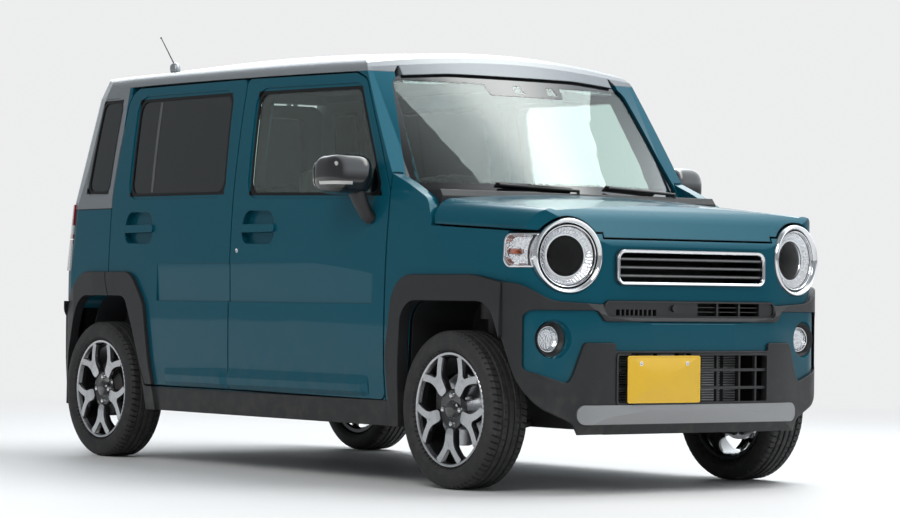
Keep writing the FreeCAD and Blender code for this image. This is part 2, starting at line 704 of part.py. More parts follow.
lamp_column = cylinder(LAMP_RADIUS + PANEL_GAP, along_lamp(-190), along_lamp(160))
lamp_columns = lamp_column.fuse(mirrored(lamp_column))
HOOD_RISE = [(COWL_X + PANEL_GAP, 938.0, 0), (1700.0, 904.0, 0), (1700.0, 1200.0, 0), (COWL_X + PANEL_GAP, 1200.0, 0)]
nose_outer = nose_form(0)
front_outer = hood_form(0).common(nose_outer)
front_inner = hood_form(HOOD_THICKNESS).common(nose_form(HOOD_THICKNESS))
hood_space = prism(HOOD_RISE, "y", -OUTSIDE, OUTSIDE).fuse(
    box((1560, 1800), (-HOOD_LIP_Y, HOOD_LIP_Y), (HOOD_LIP_Z, 1000)))
hood = main_solid(front_outer.cut(front_inner).common(hood_space).cut(lamp_columns))

# Hood hinges: pins on the bulkhead that turn in the thickness of the hood's rear edge
HOOD_HINGE_X = 1071.0
HOOD_HINGE_Y = 260.0
HOOD_HINGE_Z = 1039.0
HOOD_PIN_HALF = 34.0
hood_pins = []
for hinge_y in (-HOOD_HINGE_Y, HOOD_HINGE_Y):
    low, high = hinge_y - HOOD_PIN_HALF, hinge_y + HOOD_PIN_HALF
    pocket = box((HOOD_HINGE_X - 14, HOOD_HINGE_X + 12), (hinge_y - 20, hinge_y + 20), (990, HOOD_HINGE_Z + 7))
    hole = cylinder(HINGE_PIN_RADIUS + FIT, (HOOD_HINGE_X, low - FIT, HOOD_HINGE_Z),
                    (HOOD_HINGE_X, high + FIT, HOOD_HINGE_Z))
    hood = hood.cut([pocket, hole])
    arm = prism([(HOOD_HINGE_X - 5, HOOD_HINGE_Z, 0), (HOOD_HINGE_X + 5, HOOD_HINGE_Z, 0),
                 (HOOD_HINGE_X + 5, 984.0, 0), (1047.0, 970.0, 0), (1047.0, 984.0, 0),
                 (HOOD_HINGE_X - 5, 998.0, 0)], "y", hinge_y - 12, hinge_y + 12)
    pin = cylinder(HINGE_PIN_RADIUS, (HOOD_HINGE_X, low, HOOD_HINGE_Z), (HOOD_HINGE_X, high, HOOD_HINGE_Z))
    boss = cylinder(5.0, (HOOD_HINGE_X, hinge_y - 12, HOOD_HINGE_Z), (HOOD_HINGE_X, hinge_y + 12, HOOD_HINGE_Z))
    hood_pins += [arm, pin, boss]
hood = main_solid(hood)
parts["hood"] = hood

# Fenders
fender = side_wall(0, FENDER_THICKNESS).common(box((790 + PANEL_GAP, NOSE_SEAM_X), (-OUTSIDE, 0), (0, 1140)))
fender = fender.common(prism(COWL_PROFILE, "y", -OUTSIDE, OUTSIDE).fuse(
    prism([(COWL_X - 20, 150, 0), (1700, 150, 0), (1700, 904 - PANEL_GAP, 0), (COWL_X - 20, 939.2 - PANEL_GAP, 0)],
          "y", -OUTSIDE, OUTSIDE)))
fender = fender.cut(side_wall(-30, CLADDING_DEPTH + FIT, SILL_BOTTOM_Z - 20).common(side_cut(FRONT_FLARE)))
LOBE_OUTLINE = [(1458.0, 780.0, 40), (1700.0, 780.0, 0), (1700.0, 901.0, 0), (1470.0, 901.0, 40)]
lobe_space = side_cut(LOBE_OUTLINE, LAMP_Y)
fender = main_solid(fender.cut(front_arch).cut(lobe_space).cut(sill_space).common(nose_outer))
parts["fenders"] = Part.Compound([fender, mirrored(fender)])

# Nose panel between the lamps and the bumper skin, one painted moulding
FASCIA_THICKNESS = 34.0
BUMPER_BOTTOM_Z = 205.0
BUMPER_PLAN = [
    (1000.0, -742.0, 0),
    (1440.0, -716.0, 200),
    (1592.0, -684.0, 130),
    (1670.0, -420.0, 500),
    (1684.0, -200.0, 0),
]
BUMPER_PROFILE = [
    (1000.0, 190.0, 0),
    (1640.0, 190.0, 40),
    (1688.0, 300.0, 120),
    (1688.0, 580.0, 40),
    (1664.0, 634.0, 30),
    (1655.0, 664.0, 0),
    (1640.0, 700.0, 0),
    (1600.0, 775.0, 0),
    (1000.0, 775.0, 0),
]


def bumper_form(inset):
    """Everything behind the bumper's surface, or the form inset inside it."""
    plan = [(x - inset * (x > 1500), y + inset, radius) for x, y, radius in BUMPER_PLAN]
    profile = [(x - inset * (x > 1300), z, radius) for x, z, radius in BUMPER_PROFILE]
    return prism(both_sides(plan), "z", BUMPER_BOTTOM_Z, 770).common(prism(profile, "y", -900, 900))


# Front views, y and z: the right half of the painted bumper skin, which leaves the overriders dark,
# the top of the dark plastic round it, and the openings
SKIN_RECESS = 9.0
SKIN_OUTLINE = [
    (-398.0, 598.0, 20),
    (-427.0, 636.0, 20),
    (-679.0, 636.0, 30),
    (-679.0, 428.0, 24),
    (-532.0, 381.0, 20),
    (-514.0, 411.0, 60),
    (-474.0, 523.0, 14),
    (-352.0, 523.0, 14),
    (-352.0, 495.0, 6),
]
STRIP_OUTLINE = [
    (-420.0, 657.0, 300),
    (-600.0, 667.0, 160),
    (-690.0, 726.0, 60),
    (-800.0, 762.0, 0),
    (-800.0, 100.0, 0),
]
GRILLE_OUTLINE = [(-343.0, 724.0, 30), (-343.0, 850.0, 34)]
SLOT_OUTLINE = [(-394.0, 612.0, 22), (-394.0, 670.0, 22)]
MOUTH_OUTLINE = [(-352.0, 308.0, 14), (-352.0, 488.0, 14)]
FOG_Y = 581.0
FOG_Z = 535.0
FOG_RADIUS = 60.0
FOG_X = 1596.0


def front_cut(corners, low=1400.0, high=1800.0):
    return prism(corners, "x", low, high)


bumper_shell = bumper_form(0).cut(bumper_form(FASCIA_THICKNESS)).common(
    box((FLARE_FRONT_X + FIT, 1800), (-800, 800), (0, 800)))
for arch in (front_arch, mirrored(front_arch)):
    bumper_shell = bumper_shell.cut(arch)
fog_bore = cylinder(FOG_RADIUS, (1480, -FOG_Y, FOG_Z), (1800, -FOG_Y, FOG_Z))
fog_dish = Part.makeCone(FOG_RADIUS, FOG_RADIUS + 30, 54, Vector(FOG_X, -FOG_Y, FOG_Z), Vector(1, -0.2, 0))
fog_bore = fog_bore.fuse(fog_dish)
skin_space = front_cut(across(SKIN_OUTLINE), 1440)
strip_space = front_cut(across(STRIP_OUTLINE), 1440)
above_strip = front_cut(grown(across(STRIP_OUTLINE), FIT), 1440)
slot_space = front_cut(across(SLOT_OUTLINE))
mouth_space = front_cut(across(MOUTH_OUTLINE))
skins = bumper_shell.common(skin_space).common(bumper_form(SKIN_RECESS)).cut(fog_bore).cut(mirrored(fog_bore))
lower_bumper = bumper_shell.common(strip_space).cut(skin_space).cut(slot_space).cut(mouth_space)
PLATE_Y = -151.5
PLATE_Z = 397.0
PLATE_WIDTH = 330.0
PLATE_HEIGHT = 165.0
PLATE_HOLE_SPACING = 210.0
PLATE_HOLE_RADIUS = 3.2
PLATE_HOLE_RISE = 55.0
PLATE_BACK_X = HALF_LENGTH - 3.5
bracket = box((1650, PLATE_BACK_X), (PLATE_Y - 135, PLATE_Y + 135), (PLATE_Z - PLATE_HEIGHT / 2 - 6, PLATE_Z + 74))
lips = [box((PLATE_BACK_X - 6, HALF_LENGTH), (PLATE_Y + y - 14, PLATE_Y + y + 14),
            (PLATE_Z - PLATE_HEIGHT / 2 - 6, PLATE_Z - PLATE_HEIGHT / 2 - 1)) for y in (-105, 105)]
struts = [box((1640, 1662), (PLATE_Y + y - 12, PLATE_Y + y + 12), (298, 492)) for y in (-105, 105)]
bracket = fuse([bracket] + lips + struts)
for y in (-PLATE_HOLE_SPACING / 2, PLATE_HOLE_SPACING / 2):
    hole_z = PLATE_Z + PLATE_HOLE_RISE
    bracket = bracket.cut(cylinder(PLATE_HOLE_RADIUS, (PLATE_BACK_X - 16, PLATE_Y + y, hole_z),
                                   (PLATE_BACK_X + 5, PLATE_Y + y, hole_z)))
lower_bumper = main_solid(lower_bumper).fuse(bracket).removeSplitter()
parts["front_bumper"] = main_solid(lower_bumper)

nose_shell = front_outer.cut(nose_form(FASCIA_THICKNESS)).common(
    box((NOSE_SEAM_X + FIT, 1800), (-800, 800), (SLOT_OUTLINE[0][1] - 6, HOOD_CUT_Z))).cut(above_strip)
nose_shell = nose_shell.cut(prism(grown(HOOD_RISE, PANEL_GAP), "y", -OUTSIDE, OUTSIDE))
nose_shell = nose_shell.cut(box((1500, 1800), (-HOOD_LIP_Y - PANEL_GAP, HOOD_LIP_Y + PANEL_GAP),
                                (HOOD_LIP_Z - PANEL_GAP, 1000)))
lamp_bore = cylinder(LAMP_RADIUS + FIT, along_lamp(-190), along_lamp(160))
nose_shell = nose_shell.cut(fuse([lamp_bore, lobe_space])).cut(mirrored(fuse([lamp_bore, lobe_space])))
nose_shell = nose_shell.cut(front_cut(across(GRILLE_OUTLINE))).cut(slot_space)
fascia = nose_shell.fuse(skins.Solids).removeSplitter()
parts["front_fascia"] = Part.Compound([x for x in fascia.Solids if x.Volume > 1e5])

# Head lamps with their turn-signal lobes, and the fog lamps
BOWL_DEPTH = 74.0
LENS_RADIUS = 70.0
bowl = spun([(0.0, 0.0, 0), (30.0, 0.0, 0), (24.0, LENS_RADIUS, 0), (30.0, LENS_RADIUS, 0),
             (56.0, LAMP_RADIUS - 26, 10), (56.0, LAMP_RADIUS - 20, 2), (BOWL_DEPTH, LAMP_RADIUS - 15, 6),
             (BOWL_DEPTH - 8, LAMP_RADIUS, 8), (0.0, LAMP_RADIUS, 0)], (0, 0, 0))
bowl.rotate(Vector(0, 0, 0), Vector(0, 0, 1), 90 - LAMP_TURN)
bowl.translate(Vector(*along_lamp(-BOWL_DEPTH)))
lobe_body = side_cut(grown(LOBE_OUTLINE, -FIT), LAMP_Y)
lobe_body = lobe_body.common(nose_form(-3)).cut(nose_form(FASCIA_THICKNESS + 20)).common(side_wall(-3, 150))
lobe_seat = cylinder(LAMP_RADIUS - 8, along_lamp(-190), along_lamp(160))
headlamp = main_solid(main_solid(lobe_body.cut(lobe_seat)).fuse(bowl))
fog_lamp = spun([(0.0, 0.0, 0), (26.0, 0.0, 0), (20.0, 38.0, 6), (14.0, 42.0, 0), (24.0, FOG_RADIUS - FIT, 4),
                 (0.0, FOG_RADIUS - FIT, 0)], (0, 0, 0))
fog_lamp.rotate(Vector(0, 0, 0), Vector(0, 0, 1), 90)
fog_lamp.translate(Vector(FOG_X - 24, -FOG_Y, FOG_Z))
parts["front_lamps"] = Part.Compound([headlamp, mirrored(headlamp), fog_lamp, mirrored(fog_lamp)])

# Grille with its frame, the slot panel under it and the mesh in the bumper's mouth, one black moulding each
def barred(corners, x, depth, rim, bars, across_span):
    """A frame in front view with level bars across it."""
    ring = prism(corners, "x", x - depth, x).cut(prism(grown(corners, -rim), "x", x - depth - 1, x + 1))
    left, right = across_span
    levels = [box((x - depth, x - 8), (left, right), (z - 5, z + 5)) for z in bars]
    return fuse([ring] + levels)


grille_outline = grown(across(GRILLE_OUTLINE), -FIT)
grille = barred(grille_outline, NOSE_X + 4, 36, 13, [758, 787, 816], (-334, 334))

# Slot panel: a ribbed plate with a slatted vent and a barred window, both right through it, and a round boss
SLOT_X = NOSE_X + 2
slot_outline = grown(across(SLOT_OUTLINE), -FIT)
SLOT_VENT = {"y": (-340.0, -158.0), "z": (618.0, 640.0), "slats": 8}
SLOT_WINDOW = {"y": (32.0, 323.0), "z": (618.0, 664.0), "posts": (126.0, 229.0), "bars": (633.0, 649.0)}
slot_panel = prism(slot_outline, "x", SLOT_X - 30, SLOT_X - 8)
for hole in (SLOT_VENT, SLOT_WINDOW):
    slot_panel = slot_panel.cut(box((1500, 1800), hole["y"], hole["z"]))
rim = prism(slot_outline, "x", SLOT_X - 30, SLOT_X).cut(prism(grown(slot_outline, -6), "x", 1500, 1800))
slot_pieces = [slot_panel, rim, cylinder(12.0, (SLOT_X - 10, -79, 645), (SLOT_X + 3, -79, 645))]
low, high = SLOT_VENT["y"]
pitch = (high - low) / (SLOT_VENT["slats"] + 1)
for k in range(SLOT_VENT["slats"]):
    middle = low + pitch * (k + 1)
    slot_pieces.append(box((SLOT_X - 28, SLOT_X - 6), (middle - 3.5, middle + 3.5), (617, 641)))
for middle in SLOT_WINDOW["posts"]:
    slot_pieces.append(box((SLOT_X - 28, SLOT_X - 8), (middle - 4, middle + 4), (617, 665)))
for level in SLOT_WINDOW["bars"]:
    slot_pieces.append(box((SLOT_X - 26, SLOT_X - 14), (31, 324), (level - 1.5, level + 1.5)))
RIB_PITCH = 8.0
for k in range(6):
    level = 622.0 + RIB_PITCH * k
    rib = box((SLOT_X - 9, SLOT_X - 5), (-388, 388), (level - 1.6, level + 1.6))
    for hole in (SLOT_VENT, SLOT_WINDOW):
        rib = rib.cut(box((1500, 1800), hole["y"], hole["z"]))
    slot_pieces += rib.Solids
slot_grille = fuse(slot_pieces)
mouth_grille = barred(grown(across(MOUTH_OUTLINE), -FIT), 1678, 26, 8, [365, 428], (-348, 348))
mouth_posts = [box((1652, 1666), (y - 4, y + 4), (310, 486)) for y in (119.0, 223.0, 300.0)]
mouth_grille = fuse([mouth_grille] + mouth_posts).cut(box((1600, 1720), (PLATE_Y - 136, PLATE_Y + 136), (290, 500)))
mouth_pieces = [piece for piece in mouth_grille.Solids if piece.Volume > 1e3]
parts["grille"] = Part.Compound([grille, slot_grille] + mouth_pieces)

# Skid bar across the bottom of the bumper
SKID_HALF_WIDTH = 505.0
skid = prism([(-SKID_HALF_WIDTH, 241.0, 30), (SKID_HALF_WIDTH, 241.0, 30), (SKID_HALF_WIDTH, 308.0, 30),
              (-SKID_HALF_WIDTH, 308.0, 30)], "x", 1500, 1720).common(bumper_form(-6)).cut(bumper_form(-FIT))
parts["skid_bar"] = main_solid(skid)

# Tailgate with the rear plate's recess, its glass and its wiper
REAR_PLATE_X = -1648.0
REAR_PLATE_Z = 800.0
GATE_THICKNESS = 52.0
GATE_WINDOW = [(-486.0, 1100.0, 50), (-452.0, 1462.0, 50)]
gate_wall = tail_form(0).cut(tail_form(GATE_THICKNESS)).common(box((-1800, -1300), (-700, 700), (0, 1700)))
gate = gate_wall.common(prism(across(GATE_OUTLINE), "x", -1800, -1300))
gate = gate.cut(prism(across(GATE_WINDOW), "x", -1800, -1300))
ear = box((GATE_HINGE_X - GATE_EAR_RADIUS, GATE_HINGE_X + GATE_EAR_RADIUS), (-GATE_HINGE_Y - 24, -GATE_HINGE_Y - 10),
          (GATE_TOP_Z - 12, GATE_HINGE_Z)).fuse(gate_rod(GATE_EAR_RADIUS, -24, -10))
ears = ear.fuse(ear.translated(Vector(0, 34, 0))).cut(gate_rod(HINGE_PIN_RADIUS + FIT, -30, 30))
gate = main_solid(gate).fuse(ears.Solids + mirrored(ears).Solids)
plate_recess = box((-1700, REAR_PLATE_X), (-PLATE_WIDTH / 2 - 14, PLATE_WIDTH / 2 + 14),
                   (REAR_PLATE_Z - PLATE_HEIGHT / 2 - 14, REAR_PLATE_Z + PLATE_HEIGHT / 2 + 20))
gate = gate.cut(plate_recess)
for y in (-PLATE_HOLE_SPACING / 2, PLATE_HOLE_SPACING / 2):
    gate = gate.cut(cylinder(PLATE_HOLE_RADIUS, (REAR_PLATE_X - 10, y, REAR_PLATE_Z + PLATE_HOLE_RISE),
                             (REAR_PLATE_X + 16, y, REAR_PLATE_Z + PLATE_HOLE_RISE)))
parts["tailgate"] = main_solid(gate)
rear_wiper = fuse([cylinder(20.0, (-1662, 0, 1072), (-1600, 0, 1072)),
                   rod([(-1654.0, 0.0, 1072.0), (-1646.0, -60.0, 1092.0), (-1630.0, -330.0, 1140.0)], 6.0)])
rear_wiper = rear_wiper.cut(gate).cut(tail_form(0))
parts["rear_wiper"] = main_solid(rear_wiper)
gate_pane = tail_form(GLASS_INSET).cut(tail_form(GLASS_INSET + GLASS_THICKNESS))
parts["tailgate_glass"] = main_solid(gate_pane.common(prism(grown(across(GATE_WINDOW), -FIT), "x", -1800, -1300)))

# Rear bumper
REAR_PLAN = [(-1400.0, -732.0, 0), (-1652.0, -712.0, 110), (-HALF_LENGTH, -300.0, 900)]
REAR_PROFILE = [(-1400.0, 215.0, 0), (-1660.0, 215.0, 30), (-HALF_LENGTH - 2, 380.0, 200),
                (-HALF_LENGTH - 2, 600.0, 30),
                (-1650.0, 643.0, 20), (-1400.0, 643.0, 0)]
REAR_BUMPER_THICKNESS = 44.0


def rear_bumper_form(inset):
    plan = [(x + inset * (x < -1500), y + inset, radius) for x, y, radius in REAR_PLAN]
    profile = [(x + inset * (x < -1500), z, radius) for x, z, radius in REAR_PROFILE]
    return prism(both_sides(plan), "z", 200, 700).common(prism(profile, "y", -900, 900))


rear_bumper = rear_bumper_form(0).cut(rear_bumper_form(REAR_BUMPER_THICKNESS)).common(
    box((-1800, -1480), (-800, 0), (0, 800)))
rear_bumper = main_solid(rear_bumper.cut(rear_arch).cut(sill_space))
parts["rear_bumper"] = rear_bumper.fuse(mirrored(rear_bumper)).removeSplitter()

# Floor with the rear wheel houses, and the rear panel behind the bumper
COWL_BEHIND = 20.0
FLOOR_THICKNESS = 38.0
FLOOR_FRONT_X = 838.0
KICK_X = -860.0
REAR_FLOOR_Z = 430.0
HOUSE_INNER_Y = 452.0
HOUSE_WALL = 10.0
side_block = side_wall(-80, FRAME_INSET + FIT, 100.0)
side_block = side_block.fuse(mirrored(side_block))
floor_line = [(FLOOR_FRONT_X, FLOOR_Z, 0), (FLOOR_FRONT_X, FLOOR_Z + FLOOR_THICKNESS, 0),
              (KICK_X + 10, FLOOR_Z + FLOOR_THICKNESS, 0), (KICK_X - 40, REAR_FLOOR_Z + FLOOR_THICKNESS, 0),
              (-1610.0, REAR_FLOOR_Z + FLOOR_THICKNESS, 0), (-1610.0, 630.0, 0), (-1640.0, 630.0, 0),
              (-1640.0, REAR_FLOOR_Z, 0), (KICK_X - 60, REAR_FLOOR_Z, 0), (KICK_X - 20, FLOOR_Z, 0)]
floor = prism(floor_line, "y", -700, 700).cut(side_block)
house_shell = prism(grown(REAR_ARCH, HOUSE_WALL), "y", -700, -HOUSE_INNER_Y).common(
    box((-1640, -700), (-OUTSIDE, 0), (FLOOR_Z, 900)))
beam_space = box((-1560, -900), (-480, -440), (FLOOR_Z - 10, REAR_FLOOR_Z))
house_shell = house_shell.cut(beam_space)
rear_space = box((-1800, -1480), (-800, 800), (215, 643)).cut(rear_bumper_form(REAR_BUMPER_THICKNESS + FIT))
house_space = prism(REAR_ARCH, "y", -OUTSIDE, -HOUSE_INNER_Y - HOUSE_WALL)
floor = floor.fuse([house_shell.cut(side_block), mirrored(house_shell.cut(side_block))])
floor = floor.cut(house_space).cut(mirrored(house_space)).cut(rear_space).removeSplitter()
parts["floor"] = main_solid(floor)

# Bulkhead between cabin and engine, stepped forward above the wheel houses, and the cowl panel on it
bulkhead_line = [(FLOOR_FRONT_X + FIT, FLOOR_Z, 0), (FLOOR_FRONT_X + 24, FLOOR_Z, 0), (FLOOR_FRONT_X + 24, 700.0, 0),
                 (1048.0, 700.0, 0), (1048.0, 1000.0, 0), (1024.0, 1000.0, 0), (1024.0, 724.0, 0),
                 (FLOOR_FRONT_X + FIT, 724.0, 0)]
bulkhead = main_solid(prism(bulkhead_line, "y", -700, 700).cut(side_block)).fuse(hood_pins)
parts["bulkhead"] = main_solid(bulkhead)
cowl_block = side_wall(-80, FENDER_THICKNESS + FIT).common(box((FRAME_FRONT_X, 1300), (-OUTSIDE, 0), (0, 1200)))
COWL_TOP_Z = GLASS_OUTLINE[0][1] - FIT
cowl_line = [(840.0, 1000.0 + FIT, 0), (1044.0, 1000.0 + FIT, 0), (1044.0, 1040.0, 6), (1026.0, COWL_TOP_Z, 4),
             (840.0, COWL_TOP_Z, 0)]
cowl_sides = side_block.common(box((700, FRAME_FRONT_X + FIT), (-800, 800), (0, 1200)))
cowl = prism(cowl_line, "y", -700, 700).common(screen_space(COWL_BEHIND)).cut(cowl_sides)
cowl = cowl.cut(cowl_block).cut(mirrored(cowl_block))
parts["cowl"] = main_solid(cowl)

# Front wheel houses with the strut towers
STRUT_Y = 520.0
STRUT_TOP_Z = 840.0
TOWER_RADIUS = 82.0
TOWER_WALL = 8.0
FRONT_HOUSE_Y = 400.0
front_house = prism(grown(FRONT_ARCH, HOUSE_WALL), "y", -700, -FRONT_HOUSE_Y + HOUSE_WALL).common(
    box((800, 1600), (-OUTSIDE, 0), (FLOOR_Z, 900)))
tower = cylinder(TOWER_RADIUS, (AXLE_FRONT_X, -STRUT_Y, 640), (AXLE_FRONT_X, -STRUT_Y, STRUT_TOP_Z + 12))
tower_bore = cylinder(TOWER_RADIUS - TOWER_WALL, (AXLE_FRONT_X, -STRUT_Y, 600),
                      (AXLE_FRONT_X, -STRUT_Y, STRUT_TOP_Z))
front_house = front_house.fuse(tower).cut(prism(FRONT_ARCH, "y", -OUTSIDE, -FRONT_HOUSE_Y)).cut(tower_bore)
bumper_space = bumper_form(-20).cut(bumper_form(FASCIA_THICKNESS + FIT)).common(
    box((FLARE_FRONT_X - FIT, 1800), (-800, 800), (0, 800)))
front_house = front_house.cut(cowl_block).cut(bumper_space).cut(
    side_block.common(box((700, FRAME_FRONT_X + FIT), (-800, 800), (0, 1200)))).cut(
    side_wall(-80, FENDER_THICKNESS + FIT)).cut(prism(bulkhead_line, "y", -700, 700))
front_house = main_solid(front_house)
parts["inner_fenders"] = Part.Compound([front_house, mirrored(front_house)])

# Wheels
TYRE_OUTLINE = [
    (-60.0, 193.0, 0), (-60.0, 207.0, 0), (-TYRE_WIDTH / 2, 245.0, 0), (-64.0, TYRE_RADIUS, 0),
    (64.0, TYRE_RADIUS, 0), (TYRE_WIDTH / 2, 245.0, 0), (60.0, 207.0, 0), (60.0, 193.0, 0),
]
RIM_OUTLINE = [
    (-66.0, 182.0, 0), (-66.0, RIM_RADIUS, 0), (-60.3, RIM_RADIUS, 0), (-60.3, 192.7, 0),
    (60.3, 192.7, 0), (60.3, RIM_RADIUS, 0), (67.0, RIM_RADIUS, 2), (67.0, 194.0, 2), (56.0, 186.0, 0),
    (20.0, 184.0, 0),
]
HUB_FACE = 44.0
SPOKE_TOP = 64.0
LUGS = 4


def spoke():
    """One Y-shaped spoke, straight down: a stem from the hub that splits towards the rim."""
    stem = [(-19.0, -50.0, 0), (19.0, -50.0, 0), (15.0, -122.0, 0), (0.0, -134.0, 0), (-15.0, -122.0, 0)]
    arm = [(2.0, -104.0, 0), (16.0, -104.0, 0), (58.0, -166.0, 20), (62.0, -179.0, 0), (38.0, -186.0, 0),
           (30.0, -166.0, 20)]
    other_arm = [(-x, z, radius) for x, z, radius in arm]
    return [prism(corners, "y", -SPOKE_TOP, -HUB_FACE) for corners in (stem, arm, other_arm)]


def rim_shape():
    """A wheel rim about the origin, its outer face towards -Y."""
    pieces = [spun(RIM_OUTLINE, (0, 0, 0)), cylinder(HUB_RADIUS, (0, -HUB_FACE, 0), (0, -SPOKE_TOP + 6, 0)),
              cylinder(30.0, (0, -SPOKE_TOP + 6, 0), (0, -SPOKE_TOP - 2, 0))]
    for k in range(5):
        for bar in spoke():
            bar.rotate(Vector(0, 0, 0), Vector(0, 1, 0), 72 * k)
            pieces.append(bar)
    whole = fuse(pieces)
    for k in range(LUGS):
        angle = math.radians(45 + 360 * k / LUGS)
        x, z = LUG_CIRCLE / 2 * math.cos(angle), LUG_CIRCLE / 2 * math.sin(angle)
        whole = whole.cut(cylinder(9.0, (x, -SPOKE_TOP + 2, z), (x, -SPOKE_TOP - 10, z)))
    return main_solid(whole)


tyre = spun(TYRE_OUTLINE, (0, 0, 0))
rim = rim_shape()
disc = fuse([spun([(-8.0, 40.0, 0), (-8.0, DISC_RADIUS, 0), (8.0, DISC_RADIUS, 0), (8.0, 40.0, 0)], (0, 0, 0)),
             spun([(0.0, 36.0, 0), (0.0, 72.0, 0), (HUB_FACE - FIT, 72.0, 0), (HUB_FACE - FIT, 36.0, 0)], (0, 0, 0)),
             cylinder(36.5, (0, 8, 0), (0, -HUB_FACE + FIT, 0))])
drum = spun([(-18.0, 0.0, 0), (-18.0, DRUM_RADIUS, 4), (30.0, DRUM_RADIUS, 6), (34.0, 90.0, 4),
             (HUB_FACE - FIT, 64.0, 0),
             (HUB_FACE - FIT, 0.0, 0)], (0, 0, 0))
for end, axle_x, brake_name, brake in (("front", AXLE_FRONT_X, "disc", disc), ("rear", AXLE_REAR_X, "drum", drum)):
    for piece_name, piece in (("tyre", tyre), ("rim", rim), (brake_name, brake)):
        placed = piece.copy()
        placed.translate(Vector(axle_x, -WHEEL_Y, AXLE_Z))
        node = piece_name if piece_name in ("disc", "drum") else f"{piece_name}_{end}"
        add_pair(node, placed)

# Front knuckles: hub carrier, arm down to the ball joint, strut up to the tower, and the brake caliper
BALL_Y = 620.0
BALL_Z = 186.0
BALL_STUD_RADIUS = 15.0
FOOT_Z = BALL_Z + 30
CARRIER_OUT_Y = WHEEL_Y - 8 - FIT


def steering_point(z):
    """A point of the right-hand steering axis, from the ball joint to the top of the strut."""
    share = (z - BALL_Z) / (STRUT_TOP_Z - BALL_Z)
    return (AXLE_FRONT_X, -BALL_Y + share * (BALL_Y - STRUT_Y), z)


carrier = fuse([
    cylinder(42.0, (AXLE_FRONT_X, -CARRIER_OUT_Y, AXLE_Z), (AXLE_FRONT_X, -570, AXLE_Z)),
    prism([(-632.0, BALL_Z + 4, 6), (-632.0, 250.0, 0), (-600.0, 320.0, 30), (-546.0, 400.0, 20), (-546.0, 440.0, 0),
           (-500.0, 440.0, 0), (-500.0, 380.0, 20), (-570.0, 262.0, 30), (-590.0, BALL_Z + 4, 6)], "x",
          AXLE_FRONT_X - 22, AXLE_FRONT_X + 22),
    cylinder(22.0, (AXLE_FRONT_X, -STRUT_Y, 400), (AXLE_FRONT_X, -STRUT_Y, STRUT_TOP_Z - 40)),
    cylinder(48.0, (AXLE_FRONT_X, -STRUT_Y, 600), (AXLE_FRONT_X, -STRUT_Y, STRUT_TOP_Z - 40)),
    cylinder(34.0, steering_point(STRUT_TOP_Z - 60), steering_point(STRUT_TOP_Z - 8)),
])
carrier = carrier.cut(cylinder(60.0, steering_point(BALL_Z - 40), steering_point(FOOT_Z)))
caliper = box((AXLE_FRONT_X - 138, AXLE_FRONT_X - 74), (-WHEEL_Y - 22, -WHEEL_Y + 40), (AXLE_Z - 42, AXLE_Z + 58))
disc_space = cylinder(DISC_RADIUS + 4, (AXLE_FRONT_X, -WHEEL_Y - 11, AXLE_Z), (AXLE_FRONT_X, -WHEEL_Y + 11, AXLE_Z))
caliper = caliper.cut(disc_space)
caliper_arm = box((AXLE_FRONT_X - 100, AXLE_FRONT_X), (-WHEEL_Y + 18, -WHEEL_Y + 36), (AXLE_Z - 24, AXLE_Z + 30))
knuckle = carrier.fuse(caliper_arm).fuse(main_solid(caliper)).removeSplitter()
add_pair("knuckle", main_solid(knuckle))

# Subframe: rails, crossmembers and lower arms out to the ball joints
RAIL_Y = 330.0
RAIL_TOP_Z = 270.0
rails = [box((960, 1560), (side * RAIL_Y - 28, side * RAIL_Y + 28), (RAIL_TOP_Z - 55, RAIL_TOP_Z))
         for side in (-1, 1)]
crosses = [box(x, (-RAIL_Y, RAIL_Y), (RAIL_TOP_Z - depth, RAIL_TOP_Z))
           for x, depth in (((960, 1020), 20), ((1500, 1560), 46))]
arms = []
for side in (-1, 1):
    ball = (AXLE_FRONT_X, side * BALL_Y, BALL_Z - 4)
    arms.append(cylinder(13.0, (AXLE_FRONT_X, side * RAIL_Y, 232), ball))
    arms.append(cylinder(12.0, (990, side * RAIL_Y, 236), ball))
    arms.append(Part.makeSphere(BALL_STUD_RADIUS, Vector(*ball)))
    foot, top = [(x, -side * y, z) for x, y, z in (steering_point(BALL_Z - 8), steering_point(FOOT_Z - FIT))]
    arms.append(cylinder(BALL_STUD_RADIUS, foot, top))
mounts_up = [box((FLOOR_FRONT_X + 24 + FIT, 965), (side * RAIL_Y - 24, side * RAIL_Y + 24),
                 (RAIL_TOP_Z - 40, RAIL_TOP_Z)) for side in (-1, 1)]
subframe = fuse(rails + crosses + arms + mounts_up)
parts["subframe"] = main_solid(subframe)

# Engine with its gearbox as one block, and the radiator
engine = prism([(1090.0, RAIL_TOP_Z + FIT, 30), (1490.0, RAIL_TOP_Z + FIT, 30), (1470.0, 700.0, 40),
                (1400.0, 820.0, 40),
                (1130.0, 820.0, 40), (1090.0, 640.0, 60)], "y", -340, 300)
parts["engine"] = engine
parts["radiator"] = box((1520, 1556), (-300, 300), (RAIL_TOP_Z + FIT, 600))

